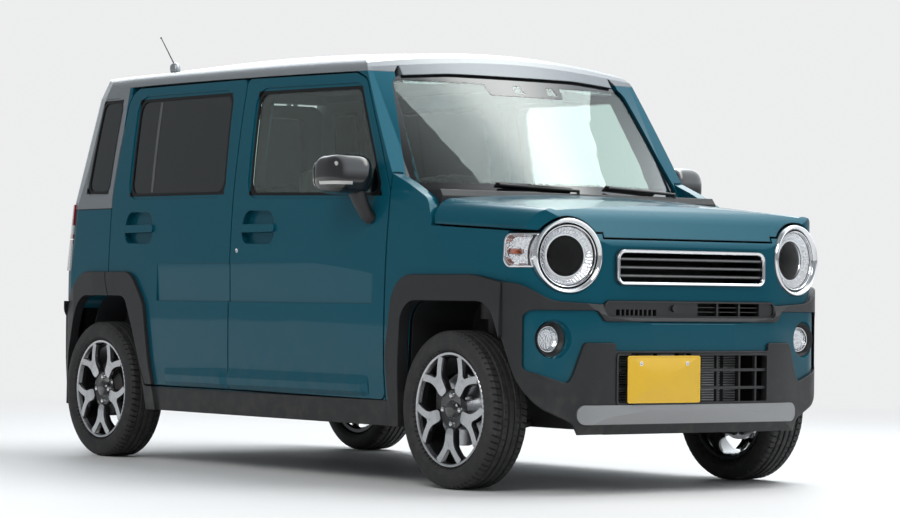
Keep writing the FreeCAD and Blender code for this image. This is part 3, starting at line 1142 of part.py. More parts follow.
# Rear axle: twist beam, trailing arms, spindles, springs and dampers
beam = [cylinder(28.0, (-1080, -500, 300), (-1080, 500, 300))]
for side in (-1, 1):
    beam += [
        prism([(-900.0, 232.0, 20), (-880.0, 232.0, 20), (-880.0, FLOOR_Z - FIT, 0), (-880.0 - 30, FLOOR_Z - FIT, 0),
               (-1290.0, 320.0, 30), (-1290.0, 244.0, 30)], "y",
              *sorted((side * 500.0, side * 540.0))),
        cylinder(24.0, (AXLE_REAR_X, side * 500, AXLE_Z), (AXLE_REAR_X, side * (WHEEL_Y - 18 - FIT), AXLE_Z)),
        cylinder(DRUM_RADIUS, (AXLE_REAR_X, side * 612, AXLE_Z), (AXLE_REAR_X, side * (WHEEL_Y - 18 - FIT), AXLE_Z)),
        cylinder(46.0, (-1110, side * 400, 310), (-1110, side * 400, REAR_FLOOR_Z - FIT)),
        cylinder(16.0, (-1340, side * 506, 666), (-1280, side * 520, 262)),
    ]
rear_axle = fuse(beam)
parts["rear_axle"] = main_solid(rear_axle)

# Exhaust: pipe under the floor and the silencer across the tail
parts["exhaust"] = fuse([
    cylinder(21.0, (1090 - FIT, 140, 300), (1040, 140, 226)),
    cylinder(21.0, (1040, 140, 226), (-1480, 140, 226)),
    Part.makeSphere(21.0, Vector(1040, 140, 226)),
    prism([(-1590.0, 270.0, 50), (-1420.0, 270.0, 50), (-1420.0, 400.0, 50), (-1590.0, 400.0, 50)], "y", -330, 330),
    cylinder(24.0, (-1480, 140, 228), (-1480, 140, 300)),
]).cut(box((1090 - FIT, 1200), (0, 300), (200, 400)))

# Interior: dashboard, steering wheel, seats
dash = prism([(1023.0, 724.0 + FIT, 0), (1023.0, 1020.0, 20), (900.0, 1052.0, 40), (700.0, 1004.0, 60),
              (624.0, 930.0, 60),
              (650.0, 720.0, 50), (760.0, 690.0, 30), (820.0, 724.0 + FIT, 0)], "y", -600, 600).cut(side_block)
dash = dash.cut(screen_space(COWL_BEHIND + FIT))
parts["dashboard"] = main_solid(dash)
WHEEL_CENTRE = Vector(470, -330, 950)
COLUMN_TILT = 64.0
wheel_ring = Part.makeTorus(182, 15)
hub_pad = Part.makeCylinder(62, 40, Vector(0, 0, -22))
column = Part.makeCylinder(34, 190, Vector(0, 0, -190))
spokes3 = [box((-176, 176), (-14, 14), (-12, 4)), box((-14, 14), (-176, 0), (-12, 4))]
steering = fuse([wheel_ring, hub_pad, column] + spokes3)
steering.rotate(Vector(0, 0, 0), Vector(0, 0, 1), -90)
steering.rotate(Vector(0, 0, 0), Vector(0, 1, 0), -COLUMN_TILT)
steering.translate(WHEEL_CENTRE)
parts["steering_wheel"] = main_solid(steering.cut(dash))
SEAT_Y = 315.0
SEAT_HALF = 245.0


def seat(x, half, back_top, head=True):
    """A seat in side view: cushion, backrest and headrest, with its cushion's front edge at x."""
    z = FLOOR_Z + FLOOR_THICKNESS + FIT
    cushion = prism([(x - 30, z, 20), (x - 30, z + 200, 50), (x - 10, z + 290, 60), (x - 500, z + 250, 30),
                     (x - 520, z, 20)],
                    "y", -half, half)
    back = prism([(x - 450, z + 150, 40), (x - 600, z + back_top, 50), (x - 690, z + back_top - 10, 50),
                  (x - 570, z + 130, 40)], "y", -half + 15, half - 15)
    pieces = [cushion, back]
    if head:
        pieces.append(prism([(x - 600, z + back_top + 20, 40), (x - 625, z + back_top + 190, 40),
                             (x - 705, z + back_top + 185, 40), (x - 690, z + back_top + 15, 40)], "y", -130, 130))
        pieces += [cylinder(8, (x - 645, s * 60, z + back_top - 60), (x - 655, s * 60, z + back_top + 80))
                   for s in (-1, 1)]
    return fuse(pieces)


front_seat = seat(470.0, SEAT_HALF, 700.0)
front_seat.translate(Vector(0, -SEAT_Y, 0))
parts["front_seats"] = Part.Compound([front_seat, mirrored(front_seat)])
rear_bench = seat(-270.0, 556.0, 660.0)
parts["rear_seat"] = rear_bench

# Wipers, antenna and mirrors
def screen_x(y, z, inset=GLASS_INSET):
    """Where the windscreen's outer surface lies, ahead of the axle's frame, at a side distance and a height."""
    (low_z, low_x, low_fall), (high_z, high_x, high_fall) = SCREEN_LEVELS
    share = (z - low_z) / (high_z - low_z)
    middle = low_x + share * (high_x - low_x) - inset * SCREEN_SLOPE
    return middle - (low_fall + share * (high_fall - low_fall)) * (y / SCREEN_REACH) ** 2


wipers = []
for pivot_y, tip_y in ((-10.0, -330.0), (455.0, 150.0)):
    tip_x = screen_x(tip_y, 1086) + 22
    wipers.append(rod([(1024.0, pivot_y, 1050.0), (1024.0, pivot_y, 1074.0), (tip_x, tip_y, 1090.0)], 6.0).cut(cowl))
    wipers[-1] = main_solid(wipers[-1])
parts["wipers"] = Part.Compound(wipers)
parts["antenna"] = fuse([cylinder(26.0, (-1170, -430, 1600), (-1170, -430, 1634)),
                         rod([(-1170, -430, 1625.0), (-1275.0, -440, 1760.0)], 4.5)]).cut(roof)
mirror = prism([(548.0, -876.0, 22), (604.0, -896.0, 50), (690.0, -850.0, 75), (716.0, -712.0, 30),
                (612.0, -712.0, 24)],
               "z", 1040, 1200)
mirror = mirror.common(prism([(-900.0, 1076.0, 34), (-892.0, 1186.0, 44), (-780.0, 1199.0, 200), (-712.0, 1182.0, 40),
                              (-712.0, 1060.0, 30), (-790.0, 1046.0, 90)], "x", 500, 800))
mirror = mirror.common(prism([(540.0, 1062.0, 20), (540.0, 1190.0, 26), (650.0, 1200.0, 60), (720.0, 1160.0, 60),
                              (716.0, 1070.0, 50), (640.0, 1042.0, 60)], "y", -910, -700))
stalk = prism([(-690.0, 944.0, 0), (-722.0, 948.0, 14), (-744.0, 1000.0, 60), (-786.0, 1064.0, 0),
               (-722.0, 1070.0, 0),
               (-690.0, 1020.0, 20)], "x", 640, 728)
stalk = stalk.common(prism([(660.0, 940.0, 20), (722.0, 940.0, 24), (720.0, 1010.0, 60), (700.0, 1075.0, 0),
                            (632.0, 1075.0, 0),
                            (652.0, 1000.0, 60)], "y", -800, -680))
mirror = fuse([mirror, stalk]).cut(side_wall(-FIT, 120))
add_pair("mirror", main_solid(mirror))

os.makedirs("parts", exist_ok=True)
for name, shape in parts.items():
    shape.exportStep(f"parts/{name}.step")
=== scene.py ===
"""Kei car: paint, glass, lamps, wheels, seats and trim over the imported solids.

Metres. +X is forward, +Y is the car's left, +Z is up.
"""

import math

import bmesh
import bpy
import numpy as np
from mathutils import Matrix, Vector


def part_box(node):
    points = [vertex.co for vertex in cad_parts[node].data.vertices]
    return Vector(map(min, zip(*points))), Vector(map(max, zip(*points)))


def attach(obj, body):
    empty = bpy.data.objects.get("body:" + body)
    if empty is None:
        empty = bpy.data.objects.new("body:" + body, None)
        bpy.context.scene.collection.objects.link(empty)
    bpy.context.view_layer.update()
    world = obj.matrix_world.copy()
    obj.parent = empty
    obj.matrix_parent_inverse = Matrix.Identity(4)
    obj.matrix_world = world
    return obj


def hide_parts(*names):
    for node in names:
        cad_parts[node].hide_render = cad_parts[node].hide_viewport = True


bl_info = {
    "name": "Kei car finishes",
    "version": (1, 0, 0),
    "blender": (4, 5, 0),
    "location": "View3D > Sidebar > Kei car",
    "description": "Builds the finishes, lamps, wheels, seats and trim of a small five-door car",
    "category": "Object",
}

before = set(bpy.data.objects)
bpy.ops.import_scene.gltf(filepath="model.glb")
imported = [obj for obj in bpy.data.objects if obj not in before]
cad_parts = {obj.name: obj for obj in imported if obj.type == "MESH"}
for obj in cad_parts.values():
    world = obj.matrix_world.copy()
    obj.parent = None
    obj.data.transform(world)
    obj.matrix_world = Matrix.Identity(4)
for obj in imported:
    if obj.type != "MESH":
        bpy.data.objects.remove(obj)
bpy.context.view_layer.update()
SIDES = {"right": -1.0, "left": 1.0}
TURN = 2 * math.pi


# Shader maths

class Field:
    """A socket of a node tree; an expression on fields adds the Math nodes that it needs."""

    def __init__(self, graph, socket):
        self.graph = graph
        self.socket = socket

    def maths(self, operation, *values):
        return self.graph.add("ShaderNodeMath", {"operation": operation}, values)

    def __add__(self, other):
        return self.maths("ADD", self, other)

    def __sub__(self, other):
        return self.maths("SUBTRACT", self, other)

    def __rsub__(self, other):
        return self.maths("SUBTRACT", other, self)

    def __mul__(self, other):
        return self.maths("MULTIPLY", self, other)

    def __pow__(self, other):
        return self.maths("POWER", self, other)

    def __abs__(self):
        return self.maths("ABSOLUTE", self)

    __radd__ = __add__
    __rmul__ = __mul__

    def sine(self):
        return self.maths("SINE", self)

    def largest(self, other):
        return self.maths("MAXIMUM", self, other)

    def smallest(self, other):
        return self.maths("MINIMUM", self, other)

    def ramp(self, low, high):
        """0 below low and 1 above high, with a smooth step between them."""
        return self.graph.add("ShaderNodeMapRange", {"interpolation_type": "SMOOTHSTEP"},
                              {"Value": self, "From Min": low, "From Max": high})


class Graph:
    """The node tree of one material, or of the world."""

    def __init__(self, name, owner=None):
        self.material = owner or bpy.data.materials.new(name)
        self.material.use_nodes = True
        self.tree = self.material.node_tree
        self.tree.nodes.clear()

    def add(self, kind, settings=None, values=(), output=0):
        """One node with its settings made first, then the values or links of its sockets."""
        node = self.tree.nodes.new(kind)
        for name, value in (settings or {}).items():
            setattr(node, name, value)
        for key, value in values.items() if isinstance(values, dict) else enumerate(values):
            if isinstance(value, Field):
                self.tree.links.new(value.socket, node.inputs[key])
            else:
                node.inputs[key].default_value = value
        return Field(self, node.outputs[output]) if len(node.outputs) else None

    def place(self):
        """The point's own coordinates as a vector field."""
        return self.add("ShaderNodeTexCoord", output=3)

    def axes(self):
        """x, y and z of the point, in metres."""
        split = self.add("ShaderNodeSeparateXYZ", values=[self.place()]).socket.node
        return [Field(self, split.outputs[i]) for i in range(3)]

    def noise(self, scale, detail=2.0):
        values = {"Vector": self.place(), "Scale": scale, "Detail": detail, "Roughness": 0.5}
        return self.add("ShaderNodeTexNoise", values=values)

    def cells(self, scale):
        return self.add("ShaderNodeTexVoronoi", values={"Vector": self.place(), "Scale": scale})

    def blend(self, share, low, high):
        """One colour turning into another as share goes from 0 to 1."""
        settings = {"data_type": "RGBA", "clamp_factor": True}
        return self.add("ShaderNodeMix", settings, {0: share, 6: low, 7: high}, 2)

    def bump(self, height, distance, strength=1.0, edge=0.0):
        """Relief from a height field; with an edge, corners catch the light as if rounded to that radius."""
        values = {"Height": height, "Distance": distance, "Strength": strength}
        if edge:
            values["Normal"] = self.add("ShaderNodeBevel", {"samples": 5}, {"Radius": edge})
        return self.add("ShaderNodeBump", values=values)

    def shader(self, **sockets):
        """The main shader, with sockets named as Blender names them but with underscores."""
        return self.add("ShaderNodeBsdfPrincipled",
                        values={name.replace("_", " "): value for name, value in sockets.items()})

    def finish(self, surface):
        self.add("ShaderNodeOutputMaterial", values={"Surface": surface})
        return self.material

    def surface(self, **sockets):
        """The material that is the main shader alone."""
        return self.finish(self.shader(**sockets))


def rgb(red, green, blue):
    return (red, green, blue, 1.0)


def brighter(colour, share):
    return tuple(min(1.0, value * share) for value in colour[:3]) + (1.0,)


def outside_of(u, v, corners):
    """How far a point lies outside a convex outline, negative inside: the largest distance past any edge."""
    middle = np.mean(np.array(corners, float), axis=0)
    worst = None
    for (u0, v0), (u1, v1) in zip(corners, corners[1:] + corners[:1]):
        normal = np.array([v1 - v0, u0 - u1]) / math.hypot(u1 - u0, v1 - v0)
        if np.dot(normal, middle - np.array([u0, v0])) > 0:
            normal = -normal
        edge = u * float(normal[0]) + v * float(normal[1]) - float(normal[0] * u0 + normal[1] * v0)
        worst = edge if worst is None else worst.largest(edge)
    return worst


# Meshes

WELD = 2e-5


class Shape:
    """Surfaces gathered into one mesh, each as a grid of points with its own finish."""

    def __init__(self):
        self.points = []
        self.quads = []
        self.finishes = []
        self.count = 0

    def grid(self, points, wrap_u=False, wrap_v=False, finish=0):
        """Adds an array of points, rows by columns by 3, as quads; a wrapped direction closes on itself."""
        rows, columns = points.shape[:2]
        number = np.arange(rows * columns).reshape(rows, columns) + self.count
        if wrap_u:
            number = np.vstack([number, number[:1]])
        if wrap_v:
            number = np.hstack([number, number[:, :1]])
        quads = np.stack([number[:-1, :-1], number[1:, :-1], number[1:, 1:], number[:-1, 1:]], axis=-1)
        quads = quads.reshape(-1, 4)
        self.points.append(points.reshape(-1, 3))
        self.quads.append(quads)
        self.finishes.append(np.full(len(quads), finish, np.int32))
        self.count += rows * columns
        return self

    def mirrored_too(self):
        """Adds the same surfaces on the other side of the car."""
        points, quads = np.vstack(self.points), np.vstack(self.quads)
        self.points.append(points * np.array([1, -1, 1]))
        self.quads.append(quads[:, ::-1] + self.count)
        self.finishes.append(np.concatenate(self.finishes))
        self.count *= 2
        return self

    def make(self, name, materials, smooth=40.0):
        """The object: doubles merged, empty faces dropped, edges sharper than smooth degrees kept sharp."""
        mesh = bpy.data.meshes.new(name)
        points, quads = np.vstack(self.points), np.vstack(self.quads)
        mesh.vertices.add(len(points))
        mesh.vertices.foreach_set("co", points.astype(np.float32).ravel())
        mesh.loops.add(quads.size)
        mesh.loops.foreach_set("vertex_index", quads.astype(np.int32).ravel())
        mesh.polygons.add(len(quads))
        mesh.polygons.foreach_set("loop_start", np.arange(0, quads.size, 4, dtype=np.int32))
        mesh.polygons.foreach_set("loop_total", np.full(len(quads), 4, np.int32))
        for material in materials:
            mesh.materials.append(material)
        mesh.polygons.foreach_set("material_index", np.concatenate(self.finishes))
        mesh.update(calc_edges=True)
        mesh.validate()
        work = bmesh.new()
        work.from_mesh(mesh)
        bmesh.ops.remove_doubles(work, verts=work.verts, dist=WELD)
        bmesh.ops.dissolve_degenerate(work, dist=WELD, edges=work.edges)
        bmesh.ops.recalc_face_normals(work, faces=work.faces)
        work.to_mesh(mesh)
        work.free()
        mesh.shade_smooth()
        mesh.set_sharp_from_angle(angle=math.radians(smooth))
        piece = bpy.data.objects.new(name, mesh)
        bpy.context.scene.collection.objects.link(piece)
        return piece


def ring_of(profile, centre, axis="y", steps=96):
    """A profile of (along the axis, radius) turned about an axis through centre, a row for each angle."""
    angle = np.linspace(0, TURN, steps, endpoint=False)
    along, radius = np.array(profile, float).T
    a, b = np.cos(angle)[:, None] * radius, np.sin(angle)[:, None] * radius
    c = np.broadcast_to(along, a.shape)
    order = {"x": (c, a, b), "y": (a, c, b), "z": (a, b, c)}[axis]
    return np.stack(order, axis=-1) + np.array(centre, float)


def rounded(corners, steps=6):
    """A closed outline through corners (u, v, radius), each rounded by an arc of its radius."""
    made = []
    count = len(corners)
    for i, (u, v, radius) in enumerate(corners):
        here = np.array([u, v])
        before = np.array(corners[i - 1][:2]) - here
        after = np.array(corners[(i + 1) % count][:2]) - here
        before, after = before / np.linalg.norm(before), after / np.linalg.norm(after)
        half = math.acos(max(-1.0, min(1.0, float(before @ after)))) / 2
        if radius <= 0 or half < 1e-3:
            made.append(here[None, :])
            continue
        middle = here + (before + after) / np.linalg.norm(before + after) * radius / math.sin(half)
        start = here + before * radius / math.tan(half) - middle
        end = here + after * radius / math.tan(half) - middle
        share = np.linspace(0, 1, steps)[:, None]
        way = start * (1 - share) + end * share
        made.append(middle + way / np.linalg.norm(way, axis=1, keepdims=True) * radius)
    return np.vstack(made)


def slab(shape, corners, low, high, axis, edge, steps=6):
    """A plate with a rounded outline and eased edges on its high side, as rings moved in and up."""
    line = rounded(corners, steps)
    middle = line.mean(axis=0)
    after, before = np.roll(line, -1, axis=0), np.roll(line, 1, axis=0)
    run = after - before
    normal = np.stack([run[:, 1], -run[:, 0]], axis=1)
    normal /= np.maximum(np.linalg.norm(normal, axis=1, keepdims=True), 1e-9)
    if np.sum(normal * (line - middle)) < 0:
        normal = -normal
    way = 1.0 if high > low else -1.0
    levels = [(0.0, low), (0.0, high - way * edge), (edge * 0.3, high - way * edge * 0.3), (edge, high)]
    rings = [put(line - normal * inset, level, axis) for inset, level in levels]
    closing = np.broadcast_to(middle, line.shape)
    rings = [put(closing, low, axis), *rings, put(closing, high, axis)]
    return shape.grid(np.stack(rings), wrap_v=True)


def power(value, exponent):
    """A power of the size of a value, with the value's own sign."""
    return np.sign(value) * np.abs(value) ** exponent


def put(line, level, axis):
    """An outline's points at a level across an axis: (y, z) for x, (x, z) for y, (x, y) for z."""
    u, v = line[:, 0], line[:, 1]
    w = np.full(len(line), level, float)
    return np.stack({"x": (w, u, v), "y": (u, w, v), "z": (u, v, w)}[axis], axis=-1)


def tube(points, radius, around=12):
    """A round bar along a path, closed at its ends: circles across it, with a radius at each point."""
    path = np.array(points, float)
    radius = np.broadcast_to(np.array(radius, float), (len(path),))
    way = np.gradient(path, axis=0)
    way /= np.linalg.norm(way, axis=1, keepdims=True)
    helper = np.array([0.0, 0.0, 1.0]) if abs(way[0, 2]) < 0.9 else np.array([0.0, 1.0, 0.0])
    side = np.cross(way, helper)
    side /= np.linalg.norm(side, axis=1, keepdims=True)
    up = np.cross(side, way)
    angle = np.linspace(0, TURN, around, endpoint=False)
    rings = path[:, None, :] + radius[:, None, None] * (
        np.cos(angle)[None, :, None] * side[:, None, :] + np.sin(angle)[None, :, None] * up[:, None, :])
    return np.concatenate([np.broadcast_to(path[:1, None, :], rings[:1].shape), rings,
                           np.broadcast_to(path[-1:, None, :], rings[:1].shape)])


def band(outer, inner, front, back):
    """A closed frame across the x axis between two outlines of as many points, rounded from front to back."""
    near = front * 0.75 + back * 0.25
    rings = [put(outer * (1 - share) + inner * share, level, "x") for share, level in (
        (0.0, back), (0.08, near), (0.22, front), (0.7, front), (0.92, near), (1.0, back))]
    return np.stack(rings + rings[:1])


# Settings

BACKDROP = rgb(0.90, 0.905, 0.91)
BACKDROP_LEVEL = 0.94


class KeiCarColours(bpy.types.PropertyGroup):
    """Colours of the paint, cladding, number plate and rubber"""
    body: bpy.props.FloatVectorProperty(name="Body", description="Paint of doors, fenders, hood and tailgate",
                                        subtype="COLOR", size=4, default=rgb(0.004, 0.082, 0.122))
    roof: bpy.props.FloatVectorProperty(name="Roof", description="Paint of the roof and the rear pillars",
                                        subtype="COLOR", size=4, default=rgb(0.210, 0.228, 0.245))
    plastic: bpy.props.FloatVectorProperty(name="Cladding", description="Plastic of flares and bumpers",
                                           subtype="COLOR", size=4, default=rgb(0.017, 0.0175, 0.019))
    plate: bpy.props.FloatVectorProperty(name="Plate", description="Face of the number plate",
                                         subtype="COLOR", size=4, default=rgb(0.83, 0.50, 0.012))
    rubber: bpy.props.FloatVectorProperty(name="Rubber", description="Tyres and window seals",
                                          subtype="COLOR", size=4, default=rgb(0.018, 0.018, 0.019))


class KeiCarSizes(bpy.types.PropertyGroup):
    """Sizes of the tread, window seals, floor and lens"""
    tread_depth: bpy.props.FloatProperty(name="Tread depth", description="Depth of the tyres' grooves",
                                         unit="LENGTH", default=0.0065)
    tread_blocks: bpy.props.IntProperty(name="Tread blocks", description="Cross grooves round each tyre",
                                        default=72)
    seal_width: bpy.props.FloatProperty(name="Seal width", description="Black edge round the side windows",
                                        unit="LENGTH", default=0.012)
    floor_size: bpy.props.FloatProperty(name="Floor size", description="Half the width of the studio floor",
                                        unit="LENGTH", default=60.0)
    camera_lens: bpy.props.FloatProperty(name="Lens", description="Focal length of the camera in millimetres",
                                         default=122.96)


def colours():
    return bpy.context.scene.kei_car_colours


def sizes():
    return bpy.context.scene.kei_car_sizes


# Finishes, each made once

FINISHES = {}


def finish(maker, *details):
    """The material that maker makes, kept for the next piece that wants it."""
    key = (maker.__name__,) + details
    if key not in FINISHES:
        FINISHES[key] = maker(*details)
    return FINISHES[key]


# Openings as seen from the side or from the front, in metres, for seals and printed edges
FRONT_WINDOW = [(-0.140, 1.074), (0.726, 1.056), (0.655, 1.200), (0.520, 1.447), (-0.156, 1.457)]
REAR_WINDOW = [(-0.346, 1.082), (-0.369, 1.462), (-1.071, 1.466), (-1.062, 1.087)]
QUARTER_WINDOW = [(-1.268, 1.102), (-1.239, 1.474), (-1.390, 1.474), (-1.440, 1.106)]
SCREEN = [(-0.637, 1.063), (-0.566, 1.515), (0.566, 1.515), (0.637, 1.063)]
TWO_TONE_X = -1.19
TWO_TONE_Z = 1.029
SEAM_BLACK = rgb(0.004, 0.004, 0.004)
SEAL_BLACK = rgb(0.006, 0.006, 0.007)
ARCH_BLACK = rgb(0.008, 0.008, 0.009)
ROAD_DUST = rgb(0.16, 0.14, 0.11)
EDGE_ROUNDING = 0.005
ARCH_INNER_Y = 0.686
ARCH_TOP_Z = 0.670


def seal_mask(graph, windows, width):
    """1 on the black edge round each side window."""
    x, _, z = graph.axes()
    near = None
    for corners in windows:
        edge = outside_of(x, z, corners)
        near = edge if near is None else near.smallest(edge)
    return 1 - near.ramp(width - 0.001, width + 0.001)


def paint(name, two_tone=False, windows=(), dark_inside=False):
    """Metallic paint under clear lacquer: flakes that vary the colour, faint orange peel, dust low down.

    two_tone is "roof" for the roof's grey alone, or True for grey above TWO_TONE_Z behind TWO_TONE_X. windows
    are outlines that get a black seal, and with dark_inside the walls inside the wheel arch are black.
    """
    graph = Graph(name)
    body, roof = tuple(colours().body), tuple(colours().roof)
    flakes = graph.cells(2600.0)
    share = flakes.ramp(0.15, 0.6)
    base = graph.blend(share, brighter(body, 1.12), brighter(body, 0.9))
    grey = graph.blend(share, brighter(roof, 1.15), brighter(roof, 0.88))
    x, y, z = graph.axes()
    if two_tone == "roof":
        base = grey
    elif two_tone:
        behind = 1 - x.ramp(TWO_TONE_X - 0.001, TWO_TONE_X + 0.001)
        base = graph.blend(z.ramp(TWO_TONE_Z - 0.0008, TWO_TONE_Z + 0.0008) * behind, base, grey)
        seam = 1 - abs(z - TWO_TONE_Z).ramp(0.0012, 0.0030)
        base = graph.blend(seam * behind, base, SEAM_BLACK)
    dust = (1 - z.ramp(0.25, 0.60)) * graph.noise(14.0, 5.0).ramp(0.35, 0.8) * 0.12
    base = graph.blend(dust, base, ROAD_DUST)
    rough = graph.noise(35.0, 3.0) * 0.05 + 0.30
    if windows:
        seal = seal_mask(graph, windows, sizes().seal_width)
        base = graph.blend(seal, base, SEAL_BLACK)
    if dark_inside:
        inner = 1 - abs(y).ramp(ARCH_INNER_Y - 0.002, ARCH_INNER_Y + 0.002)
        inner = inner * (1 - z.ramp(ARCH_TOP_Z - 0.010, ARCH_TOP_Z + 0.010))
        base = graph.blend(inner, base, ARCH_BLACK)
    peel = graph.bump(graph.noise(420.0, 1.0), 0.00004, 1.0, EDGE_ROUNDING)
    return graph.surface(Base_Color=base, Roughness=rough, Metallic=0.25, Specular_IOR_Level=0.03,
                         Coat_Weight=0.60, Coat_IOR=1.32, Coat_Roughness=0.03, Normal=peel)


def grained_plastic(name):
    """Unpainted moulded plastic: fine leather-like grain, slightly paler where it was rubbed."""
    graph = Graph(name)
    base = tuple(colours().plastic)
    grain = graph.cells(900.0)
    rubbed = graph.noise(6.0, 4.0).ramp(0.45, 0.8)
    colour = graph.blend(rubbed, base, brighter(base, 1.35))
    z = graph.axes()[2]
    dust = (1 - z.ramp(0.2, 0.5)) * graph.noise(22.0, 6.0).ramp(0.4, 0.75) * 0.14
    colour = graph.blend(dust, colour, rgb(0.17, 0.15, 0.12))
    rough = graph.noise(60.0, 2.0) * 0.10 + 0.42
    return graph.surface(Base_Color=colour, Roughness=rough, Specular_IOR_Level=0.35,
                         Normal=graph.bump(grain, 0.00025, 0.6, 0.006))


def soft_plastic(name, colour, roughness=0.5):
    """Smoother moulded plastic of trim, mirrors and the dashboard."""
    graph = Graph(name)
    tone = graph.blend(graph.noise(30.0, 3.0), brighter(colour, 0.85), brighter(colour, 1.2))
    rough = graph.noise(80.0, 2.0) * 0.08 + roughness
    grain = graph.bump(graph.noise(1400.0, 1.0), 0.00006)
    return graph.surface(Base_Color=tone, Roughness=rough, Normal=grain)


STRIP_Z = 1.0875
STRIP_INNER_Y = 0.8115
STRIP_REAR_X = 0.613


def gloss_black(name, light_strip=False):
    """Polished black plastic; a mirror's housing also holds a light strip round its lower outer corner."""
    graph = Graph(name)
    tone = graph.blend(graph.noise(12.0, 3.0), rgb(0.006, 0.006, 0.007), rgb(0.011, 0.011, 0.012))
    if light_strip:
        x, y, z = graph.axes()
        outboard = abs(y).ramp(STRIP_INNER_Y - 0.001, STRIP_INNER_Y + 0.001)
        ahead = x.ramp(STRIP_REAR_X - 0.001, STRIP_REAR_X + 0.001)
        strip = (1 - abs(z - STRIP_Z).ramp(0.0055, 0.0065)) * outboard * ahead
        tone = graph.blend(strip, tone, rgb(0.52, 0.52, 0.51))
    return graph.surface(Base_Color=tone, Roughness=graph.noise(50.0) * 0.05 + 0.10, Coat_Weight=0.8,
                         Coat_Roughness=0.04)


def chrome(name, tint=rgb(0.80, 0.81, 0.83), roughness=0.05):
    """Bright plated metal with a trace of wear in its tone and polish."""
    graph = Graph(name)
    tone = graph.blend(graph.noise(25.0, 3.0), brighter(tint, 0.93), tint)
    rough = graph.noise(40.0, 3.0) * 0.04 + roughness
    return graph.surface(Base_Color=tone, Metallic=1.0, Roughness=rough)


def satin_paint(name, colour):
    """Silver lacquer with flakes and little gloss."""
    graph = Graph(name)
    flake = graph.cells(3000.0).ramp(0.1, 0.7)
    tone = graph.blend(flake, brighter(colour, 1.12), brighter(colour, 0.9))
    return graph.surface(Base_Color=tone, Metallic=0.7, Roughness=graph.noise(50.0) * 0.06 + 0.34,
                         Coat_Weight=0.35, Coat_Roughness=0.25)


SENSOR_HOUSING = [(-0.170, 1.530), (-0.150, 1.440), (0.195, 1.440), (0.215, 1.530)]
SENSOR_VIEWS = (-0.010, 0.150)
SENSOR_LOW_Z, SENSOR_HIGH_Z = 1.450, 1.482
PRINT_LOW_Z = 1.089


def pane(name, tint, band_width=0.0, dark=0.0):
    """Window glass, tinted; with a band width it is the windscreen with its black printed edge.

    The print covers the band inside the outline, a strip along the bottom and the sensors' housing but for
    two views, and fades inwards in dots.
    """
    graph = Graph(name)
    glass = graph.shader(Base_Color=tint, Roughness=0.0, IOR=1.45, Transmission_Weight=1.0 - dark,
                         Specular_IOR_Level=0.5)
    if not band_width:
        return graph.finish(glass)
    _, u, z = graph.axes()
    edge = outside_of(u, z, SCREEN)
    mask = edge.ramp(-band_width - 0.001, -band_width + 0.001)
    housing = 1 - outside_of(u, z, SENSOR_HOUSING).ramp(-0.001, 0.001)
    mask = mask.largest(housing).largest(1 - z.ramp(PRINT_LOW_Z - 0.001, PRINT_LOW_Z + 0.001))
    for middle in SENSOR_VIEWS:
        view = outside_of(u, z, [(middle - 0.026, SENSOR_LOW_Z), (middle - 0.016, SENSOR_HIGH_Z),
                                 (middle + 0.016, SENSOR_HIGH_Z), (middle + 0.026, SENSOR_LOW_Z)])
        mask = mask.smallest(view.ramp(-0.001, 0.001))
    dots = graph.cells(160.0).ramp(0.2, 0.5)
    fade = edge.ramp(-band_width - 0.012, -band_width)
    mask = mask.largest((fade - dots * 0.9).ramp(0.15, 0.25))
    ink = graph.shader(Base_Color=rgb(0.007, 0.007, 0.008), Roughness=0.08, Coat_Weight=0.6)
    return graph.finish(graph.add("ShaderNodeMixShader", values={0: mask, 1: glass, 2: ink}))


def tyre_rubber(name):
    """Rubber with mould rings on the sidewall and dust in the tread."""
    graph = Graph(name)
    base = tuple(colours().rubber)
    dust = graph.noise(30.0, 6.0).ramp(0.4, 0.8) * 0.30
    tone = graph.blend(dust, base, rgb(0.070, 0.064, 0.056))
    rough = graph.noise(90.0, 3.0) * 0.12 + 0.62
    grain = graph.bump(graph.noise(700.0, 2.0), 0.0002, 0.5)
    return graph.surface(Base_Color=tone, Roughness=rough, Normal=grain)


def turned_metal(name, centre, tint=rgb(0.62, 0.63, 0.65), roughness=0.24, pitch=0.0011):
    """Metal turned on a lathe: fine rings about the wheel's axis through centre (x, z)."""
    graph = Graph(name)
    x, _, z = graph.axes()
    away = ((x - centre[0]) * (x - centre[0]) + (z - centre[1]) * (z - centre[1])) ** 0.5
    rings = (away * (TURN / pitch)).sine() * 0.5 + 0.5
    tone = graph.blend(rings * graph.noise(8.0, 3.0), tint, brighter(tint, 0.82))
    return graph.surface(Base_Color=tone, Metallic=1.0, Roughness=rings * 0.06 + roughness,
                         Normal=graph.bump(rings, 0.00003))


def cast_metal(name, colour=rgb(0.060, 0.060, 0.062)):
    """Rough castings and pressed steel under the car, with a bloom of rust."""
    graph = Graph(name)
    rust = graph.noise(18.0, 7.0).ramp(0.50, 0.75) * 0.5
    tone = graph.blend(rust, colour, rgb(0.085, 0.048, 0.030))
    return graph.surface(Base_Color=tone, Metallic=0.6, Roughness=graph.noise(70.0, 4.0) * 0.25 + 0.45,
                         Normal=graph.bump(graph.noise(260.0, 4.0), 0.0004))


def lens_clear(name):
    """Clear lamp cover, with a low refraction that keeps the view of the bowl straight."""
    graph = Graph(name)
    return graph.surface(Base_Color=rgb(0.97, 0.98, 0.99), Roughness=0.0, IOR=1.14,
                         Transmission_Weight=1.0)


